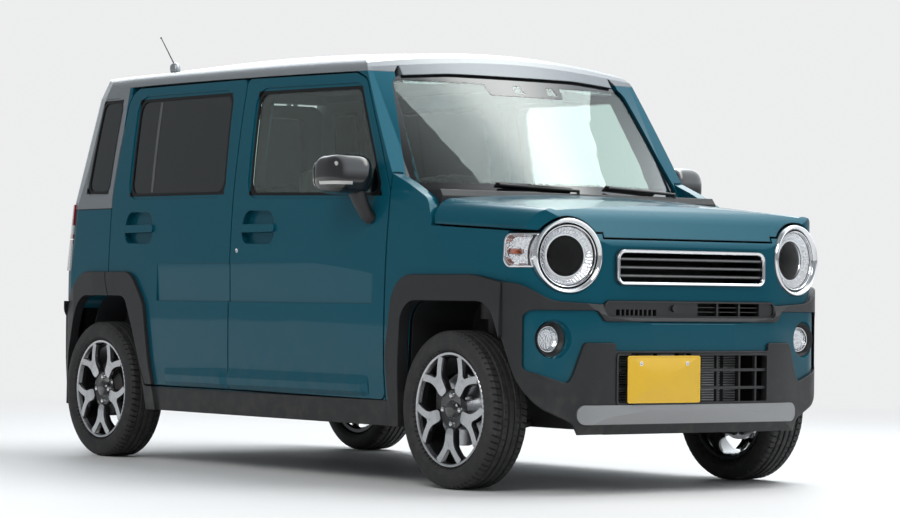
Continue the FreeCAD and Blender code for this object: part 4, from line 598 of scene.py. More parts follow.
def smoked_glass(name):
    """Dark inner lens of the headlamps."""
    graph = Graph(name)
    tone = graph.blend(graph.noise(9.0, 2.0), rgb(0.10, 0.10, 0.105), rgb(0.15, 0.15, 0.155))
    return graph.surface(Base_Color=tone, Roughness=0.0, IOR=1.18, Transmission_Weight=1.0)


def reflector(name, pitch=0.006):
    """Silvered lamp bowl with small pressed facets."""
    graph = Graph(name)
    facets = graph.cells(1.0 / pitch)
    tone = graph.blend(facets.ramp(0.1, 0.7), rgb(0.86, 0.87, 0.88), rgb(0.62, 0.63, 0.65))
    return graph.surface(Base_Color=tone, Metallic=1.0, Roughness=graph.noise(30.0) * 0.05 + 0.10,
                         Normal=graph.bump(facets, 0.0012, 0.7))


def amber_lens(name):
    """Signal bulb's amber cap."""
    graph = Graph(name)
    tone = graph.blend(graph.noise(60.0, 2.0), rgb(0.30, 0.050, 0.010), rgb(0.40, 0.080, 0.016))
    return graph.surface(Base_Color=tone, Roughness=graph.noise(50.0) * 0.05 + 0.12, Coat_Weight=0.8)


def finned_metal(name, pitch=0.009, post=0.104):
    """Radiator core: level fins between upright posts, with painted shade in the rows between the fins."""
    graph = Graph(name)
    _, y, z = graph.axes()
    fins = (z * (TURN / pitch)).sine() * 0.5 + 0.5
    posts = ((y * (TURN / post)).sine() * 0.5 + 0.5).ramp(0.90, 0.97)
    # Pale fins with darker rows between them: the dark rows are painted shade in the gaps between the fins.
    tone = graph.blend(fins, rgb(0.035, 0.035, 0.038), rgb(0.40, 0.40, 0.41))
    tone = graph.blend(posts, tone, rgb(0.010, 0.010, 0.011))
    return graph.surface(Base_Color=tone, Metallic=0.7, Roughness=graph.noise(60.0) * 0.1 + 0.35,
                         Normal=graph.bump(fins, 0.0015))


TAIL_CLEAR_Z = (0.865, 0.945)
TAIL_CLEAR_Y = 0.694
TAIL_RIB = 0.006


def lens_red(name):
    """Tail lamp moulding: red, but clear along its outer edge and across two bands, with level ribs; in the
    clear parts the ribs carry a painted highlight on their crests and painted shade in their valleys.
    """
    graph = Graph(name)
    _, y, z = graph.axes()
    ribs = (z * (TURN / TAIL_RIB)).sine() * 0.5 + 0.5
    low, high = (1 - abs(z - level).ramp(0.018, 0.020) for level in TAIL_CLEAR_Z)
    clear = low.largest(high).largest(abs(y).ramp(TAIL_CLEAR_Y - 0.0005, TAIL_CLEAR_Y + 0.0005))
    # The pale grey of the clear parts is their own tone, and the lighter rib crests with darker valleys are
    # painted highlight and shade.
    ribbed = graph.blend(ribs, rgb(0.50, 0.50, 0.50), rgb(0.80, 0.79, 0.78))
    tone = graph.blend(clear, rgb(0.33, 0.006, 0.008), ribbed)
    return graph.surface(Base_Color=tone, Roughness=0.09, Coat_Weight=1.0, Coat_Roughness=0.02,
                         Normal=graph.bump(ribs, 0.0005))


THREAD = 0.0022


def woven_fabric(name, colour):
    """Seat cloth: two sets of threads crossing, a little darker in the valleys as painted shade, with a soft
    sheen.
    """
    graph = Graph(name)
    x, y, z = graph.axes()
    warp = ((y + z * 0.3) * (TURN / THREAD)).sine()
    weft = ((x + z) * (TURN / THREAD)).sine()
    weave = (warp * weft) * 0.5 + 0.5
    # The darker colour in the valleys between the threads is painted shade.
    tone = graph.blend(weave, brighter(colour, 0.7), brighter(colour, 1.25))
    return graph.surface(Base_Color=tone, Roughness=graph.noise(40.0) * 0.1 + 0.82, Sheen_Weight=0.35,
                         Sheen_Roughness=0.5, Normal=graph.bump(weave, 0.0004))


def plate_face(name):
    """Enamelled sheet of the number plate."""
    graph = Graph(name)
    base = tuple(colours().plate)
    tone = graph.blend(graph.noise(18.0, 3.0), brighter(base, 0.96), brighter(base, 1.03))
    return graph.surface(Base_Color=tone, Roughness=0.33, Coat_Weight=0.4, Coat_Roughness=0.2)


def studio_floor(name):
    """Pale floor under the car that turns, a few metres away, into the same even tone as the backdrop."""
    graph = Graph(name)
    x, y, _ = graph.axes()
    tone = graph.blend(graph.noise(1.2, 4.0), rgb(0.70, 0.70, 0.70), rgb(0.74, 0.74, 0.74))
    near = graph.shader(Base_Color=tone, Roughness=0.62, Specular_IOR_Level=0.3)
    away = (x * x + y * y) ** 0.5
    far = graph.add("ShaderNodeEmission", values={"Color": BACKDROP, "Strength": BACKDROP_LEVEL})
    return graph.finish(graph.add("ShaderNodeMixShader", values={0: away.ramp(2.6, 9.0), 1: near, 2: far}))


# CAD nodes

def dress(nodes, material):
    """Gives CAD nodes a finish as their only material."""
    for node in nodes:
        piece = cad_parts[node]
        piece.data.materials.clear()
        piece.data.materials.append(material)


def both(name):
    return [f"{name}_right", f"{name}_left"]


def centre_of(node):
    low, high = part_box(node)
    return (low + high) / 2


class KEICAR_OT_paint(bpy.types.Operator):
    """Paints the doors, hood, fenders, nose, body sides, roof and tailgate"""
    bl_idname = "keicar.paint"
    bl_label = "Painted panels"

    def execute(self, context):
        dress(both("door_front"), finish(paint, "door_paint", False, (tuple(FRONT_WINDOW),)))
        dress(both("door_rear"), finish(paint, "rear_door_paint", False, (tuple(REAR_WINDOW),)))
        dress(["hood", "front_fascia"], finish(paint, "body_paint"))
        dress(["fenders"], finish(paint, "fender_paint", False, (), True))
        dress(["side_frames"], finish(paint, "side_paint", True, (tuple(QUARTER_WINDOW),)))
        dress(["tailgate"], finish(paint, "gate_paint", True))
        dress(["roof"], finish(paint, "roof_paint", "roof"))
        return {"FINISHED"}


class KEICAR_OT_plastics(bpy.types.Operator):
    """Grained and smooth plastics of the cladding, bumpers, grille and cabin"""
    bl_idname = "keicar.plastics"
    bl_label = "Plastics"

    def execute(self, context):
        grained = finish(grained_plastic, "grained_plastic")
        dress(["body_cladding", "front_bumper", "rear_bumper", "cowl", "inner_fenders", *both("door_flare")],
              grained)
        grille = finish(soft_plastic, "grille_plastic", rgb(0.014, 0.014, 0.015), 0.38)
        dress(["grille"], grille)
        cabin = finish(soft_plastic, "cabin_plastic", rgb(0.025, 0.025, 0.027), 0.55)
        dress(["dashboard", "steering_wheel"], cabin)
        arms = finish(soft_plastic, "arm_plastic", rgb(0.010, 0.010, 0.010), 0.40)
        dress(["wipers", "rear_wiper"], arms)
        dress(["skid_bar"], finish(satin_paint, "satin_silver", rgb(0.30, 0.305, 0.31)))
        dress(["tail_lamps"], finish(lens_red, "tail_lens"))
        return {"FINISHED"}


class KEICAR_OT_glass(bpy.types.Operator):
    """Windscreen, door, quarter and tailgate glass"""
    bl_idname = "keicar.glass"
    bl_label = "Glass"

    def execute(self, context):
        dress(["windshield"], finish(pane, "screen_glass", rgb(0.80, 0.93, 0.88), 0.030))
        dress(both("glass_front"), finish(pane, "door_glass", rgb(0.62, 0.76, 0.71)))
        privacy = finish(pane, "privacy_glass", rgb(0.030, 0.034, 0.036), 0.0, 0.55)
        dress([*both("glass_rear"), "quarter_glasses", "tailgate_glass"], privacy)
        return {"FINISHED"}


class KEICAR_OT_running_gear(bpy.types.Operator):
    """Cast, turned and painted metal under the body"""
    bl_idname = "keicar.running_gear"
    bl_label = "Running gear"

    def execute(self, context):
        dress(["subframe", "rear_axle", "engine", *both("knuckle"), *both("drum")],
              finish(cast_metal, "cast_metal"))
        dress(["radiator"], finish(finned_metal, "radiator_core"))
        dress(["exhaust"], finish(cast_metal, "exhaust_metal", rgb(0.16, 0.15, 0.14)))
        coating = finish(soft_plastic, "underbody", rgb(0.022, 0.024, 0.027), 0.6)
        dress(["floor", "bulkhead"], coating)
        for side in SIDES:
            disc = centre_of(f"disc_{side}")
            dress([f"disc_{side}"], finish(turned_metal, "disc_steel", (disc.x, disc.z)))
        return {"FINISHED"}


# Wheels

# One sidewall of a tyre, from its bead to the tread: (along the axle, radius)
TYRE_PROFILE = [(-0.058, 0.200), (-0.064, 0.208), (-0.074, 0.214), (-0.0805, 0.226), (-0.0825, 0.240),
                (-0.0805, 0.254), (-0.0760, 0.2655), (-0.0700, 0.2735), (-0.0620, 0.2785)]
TREAD_HALF = 0.062
GROOVE_LINES = (0.0125, 0.0375)
GROOVE_FLOOR, GROOVE_WALL = 0.0026, 0.0012
BLOCK_SLANT = 9.0
BLOCK_STEPS = 9
MOULD_RINGS = ((0.2310, 0.0020, 0.0007), (0.2600, 0.0024, 0.0006))


def smooth_line(points, count):
    """Points spread evenly by length along a line."""
    line = np.array(points, float)
    length = np.concatenate([[0], np.cumsum(np.linalg.norm(np.diff(line, axis=0), axis=1))])
    at = np.linspace(0, length[-1], count)
    return np.stack([np.interp(at, length, line[:, i]) for i in range(line.shape[1])], axis=1)


def tyre_surface(centre, radius, depth, blocks):
    """Sidewalls and tread turned about the axle; grooves are where the radius drops by depth.

    Round the tyre run four straight grooves, and slanted cross grooves repeat once per block on each side.
    """
    angle = np.linspace(0, TURN, blocks * BLOCK_STEPS, endpoint=False)[:, None]
    side = smooth_line(TYRE_PROFILE, 40)
    tread = np.linspace(-TREAD_HALF, TREAD_HALF, 63)[1:-1]
    crown = radius - 0.0015 * (tread / TREAD_HALF) ** 2
    along = np.concatenate([side[:, 0], tread, -side[::-1, 0]])
    out = np.concatenate([side[:, 1], crown, side[::-1, 1]])[None, :] * np.ones_like(angle)
    across = np.abs(along)[None, :]
    straight = np.minimum.reduce([np.abs(across - line) for line in GROOVE_LINES])
    groove = 1 - np.clip((straight - GROOVE_FLOOR) / GROOVE_WALL, 0, 1)
    slant = angle * blocks / TURN + np.sign(along)[None, :] * (across * BLOCK_SLANT)
    cross = np.clip((np.abs((slant % 1.0) - 0.5) - 0.40) / 0.03, 0, 1)
    cross = cross * (across > 0.0405) * (across < 0.073)
    sipe = np.clip((np.abs(((slant + 0.25) % 1.0) - 0.5) - 0.455) / 0.02, 0, 1)
    sipe = sipe * (across < 0.0345) * (across > 0.0155)
    out = out - depth * np.maximum(np.maximum(groove * (across < 0.06), cross), sipe * 0.6)
    ribs = sum(height * (np.abs(out - middle) < width) for middle, width, height in MOULD_RINGS)
    flank = np.sign(along)[None, :] * ribs * (across > 0.07)
    x, z = np.cos(angle) * out, np.sin(angle) * out
    y = along[None, :] * np.ones_like(angle) + flank
    return np.stack([x, y, z], axis=-1) + np.array(centre)


class KEICAR_OT_tyres(bpy.types.Operator):
    """Four tyres with grooved treads in place of the plain ones"""
    bl_idname = "keicar.tyres"
    bl_label = "Tyres"

    def execute(self, context):
        rubber = finish(tyre_rubber, "tyre_rubber")
        for end in ("front", "rear"):
            for side in SIDES:
                node = f"tyre_{end}_{side}"
                low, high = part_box(node)
                surface = tyre_surface((low + high) / 2, (high.z - low.z) / 2, sizes().tread_depth,
                                       sizes().tread_blocks)
                tyre = Shape().grid(surface, wrap_u=True).make(f"tread_{end}_{side}", [rubber], 30.0)
                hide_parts(node)
                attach(tyre, f"wheel_{end}_{side}")
        return {"FINISHED"}


SPOKES = 5
NUTS = 4
NUT_CIRCLE = 0.050
RIM_LIP = 0.2035
SPOKE_FACE = 0.0660
BEVEL = 0.003
ARM_SHARE = np.linspace(0, 1, 14)

# Turned parts of a rim: (along the axle towards the outside, radius)
LIP = [(0.0500, 0.1895), (0.0600, 0.1915), (0.0655, 0.1935), (0.0668, 0.1960), (0.0668, 0.2015),
       (0.0650, RIM_LIP)]
WELL = [(0.0500, 0.1895), (0.0420, 0.1860), (-0.0550, 0.1830), (-0.0640, 0.1900), (-0.0655, 0.2040),
        (-0.0610, 0.2055), (-0.0600, 0.1935), (0.0600, 0.1935), (0.0610, 0.2050), (0.0650, RIM_LIP)]
HUB = [(0.0400, 0.004), (0.0400, 0.072), (0.0480, 0.0735), (0.0545, 0.0700), (0.0560, 0.0640),
       (0.0535, 0.0560), (0.0525, 0.0340), (0.0570, 0.0300), (0.0600, 0.0285)]
CAP = [(0.0600, 0.0285), (0.0630, 0.0270), (0.0640, 0.0240), (0.0646, 0.0150), (0.0650, 0.0)]
NUT = [(0.046, 0.0100), (0.0575, 0.0100), (0.0610, 0.0085), (0.0630, 0.0050), (0.0636, 0.0)]


def bar(path, widths, top, depth):
    """A spoke's arm in wheel coordinates: a trapezoid carried along a path (across, down), flat on top.

    Returns the points (across, out, down) of the top strip and of the flanks separately.
    """
    path = np.array(path, float)
    way = np.gradient(path, axis=0)
    way /= np.linalg.norm(way, axis=1, keepdims=True)
    side = np.stack([-way[:, 1], way[:, 0]], axis=1)
    half = np.array(widths, float) / 2
    level = np.broadcast_to(np.array(top, float), half.shape)
    rows = []
    for share, extra, drop in ((-1, 0.0055, depth), (-1, BEVEL * 0.6, BEVEL), (-1, 0.0, 0.0),
                               (1, 0.0, 0.0), (1, BEVEL * 0.6, BEVEL), (1, 0.0055, depth)):
        flat = path + side * (share * (half + extra))[:, None]
        rows.append(np.stack([flat[:, 0], level - drop, flat[:, 1]], axis=-1))
    rows = np.stack(rows, axis=1)
    return rows[:, 2:4], rows[:, :3], rows[:, 3:]


def curve(points):
    """A smooth line through a few points: a quadratic or cubic in the share of the way along."""
    points = np.array(points, float)
    share = np.linspace(0, 1, len(points))
    columns = [np.polyval(np.polyfit(share, column, len(points) - 1), ARM_SHARE) for column in points.T]
    return np.stack(columns, axis=1)


def wheel_face(shape, centre, way):
    """Five Y-shaped spokes, lip, well, hub, nuts and cap of one wheel; way is the side that faces out."""
    def place(points):
        return points * np.array([1.0, way, 1.0]) + np.array(centre)

    def turned(points, angle):
        across, out, down = np.moveaxis(points, -1, 0)
        c, s = math.cos(angle), math.sin(angle)
        return np.stack([across * c - down * s, out, across * s + down * c], axis=-1)

    for profile, steps, part in ((LIP, 144, 0), (WELL, 144, 1), (HUB, 72, 1), (CAP, 72, 2)):
        shape.grid(place(ring_of(profile, (0, 0, 0), steps=steps)), wrap_u=True, finish=part)
    stem = bar(curve([(0, -0.066), (0, -0.100), (0, -0.140)]),
               np.interp(ARM_SHARE, [0, 0.10, 0.30, 1], [0.024, 0.040, 0.045, 0.052]),
               np.interp(ARM_SHARE, [0, 0.3, 1], [0.0610, 0.0645, SPOKE_FACE]), 0.024)
    widths = np.interp(ARM_SHARE, [0, 0.35, 1], [0.030, 0.024, 0.026])
    arms = []
    for sign in (-1, 1):
        route = curve([(sign * 0.011, -0.118), (sign * 0.026, -0.144), (sign * 0.047, -0.167),
                       (sign * 0.065, -0.1825)])
        arms.append(bar(route, widths, SPOKE_FACE - 0.00005, 0.020))
    for k in range(SPOKES):
        angle = TURN * k / SPOKES
        for strips in (stem, *arms):
            for strip, part in zip(strips, (0, 1, 1)):
                shape.grid(place(turned(strip, angle)), finish=part)
    for k in range(NUTS):
        angle = TURN * k / NUTS
        middle = (NUT_CIRCLE * math.cos(angle), 0, NUT_CIRCLE * math.sin(angle))
        shape.grid(place(ring_of(NUT, middle, steps=18)), wrap_u=True, finish=3)
    return shape


class KEICAR_OT_rims(bpy.types.Operator):
    """Four alloy rims: machined Y spokes over dark painted sides, with nuts and blank caps"""
    bl_idname = "keicar.rims"
    bl_label = "Rims"

    def execute(self, context):
        dark = finish(gloss_black, "wheel_black")
        nut = finish(chrome, "nut_chrome")
        for end in ("front", "rear"):
            for side, way in SIDES.items():
                node = f"rim_{end}_{side}"
                centre = centre_of(f"tyre_{end}_{side}")
                face = finish(turned_metal, f"machined_{end}", (centre.x, centre.z))
                shape = wheel_face(Shape(), centre, way)
                rim = shape.make(f"wheel_{end}_{side}_rim", [face, dark, dark, nut], 28.0)
                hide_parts(node)
                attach(rim, f"wheel_{end}_{side}")
        return {"FINISHED"}


# Lamps

LAMP_AT = (1.632, 0.530, 0.823)
LAMP_TURN = math.radians(12.5)
LAMP_REACH = 0.1290
FOG_AT = (1.572, 0.581, 0.535)

# The body's surface behind the side lobe: (x, half width)
LOBE_WALL = [(1.460, 0.6880), (1.475, 0.6867), (1.490, 0.6848), (1.505, 0.6823), (1.520, 0.6782),
             (1.535, 0.6723), (1.550, 0.6644), (1.565, 0.6541), (1.580, 0.6420)]
LOBE_MIDDLE = 1.52
LOBE_LOW, LOBE_HIGH, LOBE_BACK, LOBE_ROUND = 0.7810, 0.9000, 1.4600, 0.036

# Turned parts of the lamps: finish, then (ahead, radius)
CHROME, BLACK, BOWL, AMBER, DARK_WELL = range(5)
LAMP_PARTS = (
    (DARK_WELL, [(-0.062, 0.0), (-0.062, 0.1305), (-0.030, 0.1305)]),
    (CHROME, [(-0.030, 0.1305), (-0.010, 0.1305), (-0.004, 0.1292), (-0.0005, 0.1265), (0.0, 0.1235),
              (-0.002, 0.1195), (-0.006, 0.1160), (-0.010, 0.1138), (-0.0125, 0.1125)]),
    (BLACK, [(-0.0125, 0.1125), (-0.019, 0.1118), (-0.019, 0.1090), (-0.012, 0.1083)]),
    (CHROME, [(-0.012, 0.1083), (-0.0095, 0.1068), (-0.0110, 0.1045), (-0.0180, 0.1015)]),
    (BLACK, [(-0.0180, 0.1015), (-0.0205, 0.1008), (-0.0205, 0.0995)]),
    (CHROME, [(-0.0360, 0.0765), (-0.0330, 0.0745), (-0.0340, 0.0710), (-0.0420, 0.0690)]),
    (BLACK, [(-0.0420, 0.0690), (-0.0520, 0.0600), (-0.0580, 0.0400), (-0.0590, 0.0)]))
FOG_PARTS = (
    (DARK_WELL, [(-0.004, 0.0), (-0.004, 0.0594), (0.024, 0.0594), (0.0225, 0.0570), (0.010, 0.0490),
                 (0.006, 0.0460)]),
    (CHROME, [(0.006, 0.0460), (0.010, 0.0445), (0.010, 0.0420), (0.006, 0.0405)]),
    (BOWL, [(0.006, 0.0405), (-0.001, 0.0330), (-0.0030, 0.0180), (-0.0032, 0.0)]))
BULB = [(-0.020, 0.0), (-0.018, 0.007), (-0.010, 0.011), (0.010, 0.011), (0.018, 0.007), (0.020, 0.0)]
LAMP_BLADE = [(-0.056, -0.002, 0.001), (-0.056, 0.002, 0.001), (-0.040, 0.002, 0.001),
              (-0.040, -0.002, 0.001)]
FLUTES_STEPS = 288

# The lobe's rings: (share of the outline, depth behind the body's surface)
LOBE_RIM = [(0.0, 0.034), (0.98, 0.034), (1.0, 0.004), (0.985, -0.0012), (0.960, -0.0020), (0.900, -0.0016),
            (0.870, 0.0020)]
LOBE_BOWL = [(0.870, 0.0020), (0.840, 0.0160), (0.760, 0.0240), (0.500, 0.0280), (0.250, 0.0290),
             (0.0, 0.0295)]
LOBE_COVER = [(0.0, -0.0010), (0.50, -0.0008), (0.865, 0.0008), (0.865, 0.0028), (0.50, 0.0012),
              (0.0, 0.0010)]


def on_lamp(points):
    """Points (ahead, outboard, up) of the right-hand lamp set into the car and turned outward."""
    ahead, out, up = np.moveaxis(points, -1, 0)
    c, s = math.cos(LAMP_TURN), math.sin(LAMP_TURN)
    x = LAMP_AT[0] + ahead * c - out * s
    y = -LAMP_AT[1] - ahead * s - out * c
    return np.stack([x, y, LAMP_AT[2] + up], axis=-1)


def shell_dome(radius, rise, thick, back, rows=12, steps=72):
    """A closed bulging pane: ahead = back + rise (1 - (r / radius)^2) outside, and thick less inside."""
    r = np.linspace(0, radius, rows)
    outside = [(back + rise * (1 - (value / radius) ** 2), value) for value in r]
    inside = [(a - thick, value) for a, value in outside[::-1]]
    return ring_of(outside + inside, (0, 0, 0), "x", steps)


def lobe_place(points, depth):
    """Side-view points (x, z) set on the body's surface, depth behind it along its normal."""
    x, z = points[:, 0], points[:, 1]
    table = np.array(LOBE_WALL)
    shape = np.polyfit(table[:, 0] - LOBE_MIDDLE, table[:, 1], 3)
    wall = np.polyval(shape, x - LOBE_MIDDLE)
    fall = np.polyval(np.polyder(shape), x - LOBE_MIDDLE)
    long = np.sqrt(1 + fall ** 2)
    return np.stack([x + fall * depth / long, -wall + depth / long, z], axis=-1)


def lobe_outline(steps=10):
    """The lobe in side view: two rounded rear corners, and in front the arc where it meets the ring."""
    z = np.linspace(LOBE_HIGH, LOBE_LOW, 4 * steps)
    x = np.linspace(1.50, 1.64, 400)
    grid_x, grid_z = np.meshgrid(x, z)
    place = lobe_place(np.stack([grid_x.ravel(), grid_z.ravel()], axis=1), 0.0)
    place = place - np.array([LAMP_AT[0], -LAMP_AT[1], LAMP_AT[2]])
    out = -place[:, 0] * math.sin(LAMP_TURN) - place[:, 1] * math.cos(LAMP_TURN)
    away = np.hypot(out, place[:, 2]).reshape(grid_x.shape)
    front = x[np.argmax(away < LAMP_REACH, axis=1)]
    rear = rounded([(LOBE_BACK, LOBE_LOW, LOBE_ROUND), (LOBE_BACK + 0.008, LOBE_HIGH, LOBE_ROUND),
                    (1.56, LOBE_HIGH, 0), (1.56, LOBE_LOW, 0)], steps)[:2 * steps]
    return np.vstack([rear, np.stack([front, z], axis=1)])


def lobe_rings(levels):
    """The lobe's outline drawn in towards its middle by each share, at each depth, as rows of a grid."""
    line = lobe_outline()
    middle = (line.max(axis=0) + line.min(axis=0)) / 2
    return np.stack([lobe_place(middle + (line - middle) * share, depth) for share, depth in levels])


class KEICAR_OT_headlamps(bpy.types.Operator):
    """Round headlamps with chrome rings and smoked lenses, side signal lobes, and fog lamps in dark wells"""
    bl_idname = "keicar.headlamps"
    bl_label = "Lamps"

    def execute(self, context):
        materials = [finish(chrome, "lamp_chrome"), finish(gloss_black, "lamp_black"),
                     finish(reflector, "lamp_bowl"), finish(amber_lens, "signal_amber"),
                     finish(soft_plastic, "lamp_well", rgb(0.010, 0.010, 0.011), 0.45)]
        fog_place = (FOG_AT[0], -FOG_AT[1], FOG_AT[2])
        body = Shape()
        for part, profile in LAMP_PARTS:
            body.grid(on_lamp(ring_of(profile, (0, 0, 0), "x", 144)), wrap_u=True, finish=part)
        bowl = ring_of(np.linspace((-0.0205, 0.0995), (-0.0360, 0.0765), 12), (0, 0, 0), "x", FLUTES_STEPS)
        wave = np.cos(np.arange(FLUTES_STEPS) * TURN / 6.0)
        bowl[..., 0] += 0.0011 * (wave[:, None] * np.sin(np.linspace(0, math.pi, 12))[None, :])
        body.grid(on_lamp(bowl), wrap_u=True, finish=BOWL)
        slab(body, LAMP_BLADE, -0.050, 0.050, "y", 0.0005)
        body.points[-1] = on_lamp(body.points[-1] + np.array([0.0, 0.0, -0.006]))
        body.grid(lobe_rings(LOBE_RIM), wrap_v=True, finish=CHROME)
        body.grid(lobe_rings(LOBE_BOWL), wrap_v=True, finish=BOWL)
        bulb = ring_of(BULB, (0, 0, 0), "x", 24) + lobe_place(np.array([[1.503, 0.836]]), 0.017)
        body.grid(bulb, wrap_u=True, finish=AMBER)
        for part, profile in FOG_PARTS:
            body.grid(ring_of(profile, fog_place, "x", 72), wrap_u=True, finish=part)
        lamps = body.mirrored_too().make("lamp_bodies", materials, 32.0)
        glass = Shape()
        glass.grid(on_lamp(shell_dome(0.1080, 0.0100, 0.0020, -0.0120)), wrap_u=True, wrap_v=True, finish=0)
        glass.grid(on_lamp(shell_dome(0.0690, 0.0110, 0.0020, -0.0420)), wrap_u=True, wrap_v=True, finish=1)
        fog = shell_dome(0.0405, 0.0070, 0.0020, 0.0065) + np.array(fog_place)
        glass.grid(fog, wrap_u=True, wrap_v=True, finish=0)
        glass.grid(lobe_rings(LOBE_COVER), wrap_v=True, finish=0)
        lenses = [finish(lens_clear, "lamp_cover"), finish(smoked_glass, "lamp_lens")]
        covers = glass.mirrored_too().make("lamp_covers", lenses)
        for piece, slot in ((lamps, "chrome"), (covers, "clear_glass")):
            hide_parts("front_lamps")
            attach(piece, "body")
        return {"FINISHED"}


def oblong(middle, half_width, low, high, low_round, high_round):
    """Corners of an upright outline, with one radius for its lower corners and one for its upper ones."""
    one, other = middle - half_width, middle + half_width
    return [(one, low, low_round), (one, high, high_round), (other, high, high_round),
            (other, low, low_round)]


class KEICAR_OT_grille(bpy.types.Operator):
    """Chrome frame round the grille"""
    bl_idname = "keicar.grille"
    bl_label = "Grille frame"

    def execute(self, context):
        outer = rounded(oblong(0.0, 0.343, 0.724, 0.850, 0.030, 0.034), 10)
        inner = rounded(oblong(0.0, 0.329, 0.738, 0.836, 0.018, 0.022), 10)
        shape = Shape()
        shape.grid(band(outer, inner, 1.6685, 1.655), wrap_v=True)
        chrome_frame = shape.make("grille_frame", [finish(chrome, "frame_chrome")], 50.0)
        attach(chrome_frame, "body")
        return {"FINISHED"}


PLATE_MIDDLE_Y = -0.1515
PLATE_LOW, PLATE_HIGH = 0.3145, 0.4795
PLATE_HALF_WIDTH = 0.165
PLATE_BACK = 1.6936
PLATE_BOLT = [(0.0, 0.0080), (0.0009, 0.0078), (0.0013, 0.0060), (0.0010, 0.0035), (0.0010, 0.0)]


class KEICAR_OT_plate(bpy.types.Operator):
    """Blank number plate with its rolled edge and two bolts"""
    bl_idname = "keicar.plate"
    bl_label = "Number plate"

    def execute(self, context):
        y, half, low, high = PLATE_MIDDLE_Y, PLATE_HALF_WIDTH, PLATE_LOW, PLATE_HIGH
        corners = oblong(y, half, low, high, 0.008, 0.008)
        shape = Shape()
        slab(shape, corners, PLATE_BACK, PLATE_BACK + 0.0022, "x", 0.001)
        outer = rounded(corners)
        inner = rounded(oblong(y, half - 0.006, low + 0.006, high - 0.006, 0.005, 0.005))
        shape.grid(band(outer, inner, PLATE_BACK + 0.0032, PLATE_BACK + 0.0020), wrap_v=True)
        for side in (-0.105, 0.105):
            bolt = ring_of(PLATE_BOLT, (PLATE_BACK + 0.0022, y + side, high - 0.0275), "x", 24)
            shape.grid(bolt, wrap_u=True, finish=1)
        materials = [finish(plate_face, "plate_yellow"), finish(chrome, "bolt_steel")]
        plate = shape.make("number_plate", materials, 35.0)
        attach(plate, "body")
        return {"FINISHED"}


# Trim

def skin_at(node, start, way):
    """Where a straight line from start along way first meets a CAD node at rest."""
    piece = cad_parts[node]
    inverse = piece.matrix_world.inverted()
    hit, place, _, _ = piece.ray_cast(inverse @ Vector(start), inverse.to_3x3() @ Vector(way))
    if not hit:
        raise ValueError(f"{node} isn't met from {start}")
    return piece.matrix_world @ place


def rail(line, widths, low, high, side_axis):
    """A bar along a line of points: four rounded corners across it, from low to high along side_axis."""
    line = np.array(line, float)
    way = np.gradient(line, axis=0)
    way /= np.linalg.norm(way, axis=1, keepdims=True)
    out = np.array(side_axis, float)
    out = out - (way @ out)[:, None] * way
    out /= np.linalg.norm(out, axis=1, keepdims=True)
    across = np.cross(way, out)
    half = np.broadcast_to(np.array(widths, float) / 2, (len(line),))[:, None]
    ease = min(0.35 * (high - low), 0.0015)
    section = ((-1, low), (-1, high - ease), (-0.86, high), (0.86, high), (1, high - ease), (1, low))
    rings = np.stack([line + across * half * share + out * level for share, level in section], axis=1)
    caps = [np.broadcast_to(line[i] + out[i] * (low + high) / 2, (1, 6, 3)) for i in (0, -1)]
    return np.concatenate([caps[0], rings, caps[1]])


KEY_LOCK = [(0.001, 0.0), (0.001, 0.0090), (-0.0015, 0.0088), (-0.0025, 0.0072), (-0.0018, 0.0055),
            (-0.0022, 0.0)]
GRILLE_EDGES = (0.758, 0.787, 0.816)
WIPER_SPANS = ((-0.336, -0.030), (0.146, 0.440))


class KEICAR_OT_trim(bpy.types.Operator):
    """Window division bars, door lock, grille edges and wiper blades"""
    bl_idname = "keicar.trim"
    bl_label = "Trim"

    def execute(self, context):
        frame_grey = finish(soft_plastic, "bar_plastic", rgb(0.075, 0.078, 0.082), 0.38)
        bright = finish(chrome, "trim_chrome")
        satin = finish(soft_plastic, "edge_grey", rgb(0.20, 0.20, 0.205), 0.35)
        rubber = finish(tyre_rubber, "blade_rubber")
        for side, way in SIDES.items():
            points = [skin_at(f"glass_rear_{side}", (-0.905 - 0.026 * (z - 1.085), way, z), (0, -way, 0))
                      for z in np.linspace(1.0905, 1.4600, 9)]
            shape = Shape()
            shape.grid(rail(points, 0.016, -0.001, 0.0025, (0, way, 0)), wrap_v=True)
            bar_piece = shape.make(f"window_bar_{side}", [frame_grey], 35.0)
            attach(bar_piece, f"door_rear_{side}")
        lock = skin_at("door_front_right", (-0.213, -1.0, 0.849), (0, 1, 0))
        shape = Shape()
        shape.grid(ring_of(KEY_LOCK, lock, "y", 28), wrap_u=True)
        key_lock = shape.make("door_lock", [bright], 35.0)
        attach(key_lock, "door_front_right")
        shape = Shape()
        for level in GRILLE_EDGES:
            line = [(1.6562, y, level) for y in np.linspace(-0.326, 0.326, 5)]
            shape.grid(rail(line, 0.0050, -0.001, 0.0016, (1, 0, 0)), wrap_v=True)
        edges = shape.make("grille_edges", [satin], 35.0)
        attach(edges, "body")
        shape = Shape()
        for tip, root in WIPER_SPANS:
            y = np.linspace(tip, root, 9)
            z = np.linspace(1.091, 1.076, 9)
            x = [skin_at("windshield", (1.4, b, c), (-1, 0, 0)).x + 0.006 for b, c in zip(y, z)]
            shape.grid(rail(np.stack([x, y, z], axis=1), 0.0055, -0.004, 0.010, (0.67, 0, 0.74)), wrap_v=True)
        blades = shape.make("wiper_blades", [rubber], 35.0)
        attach(blades, "body")
        return {"FINISHED"}


# Door mirrors and antenna

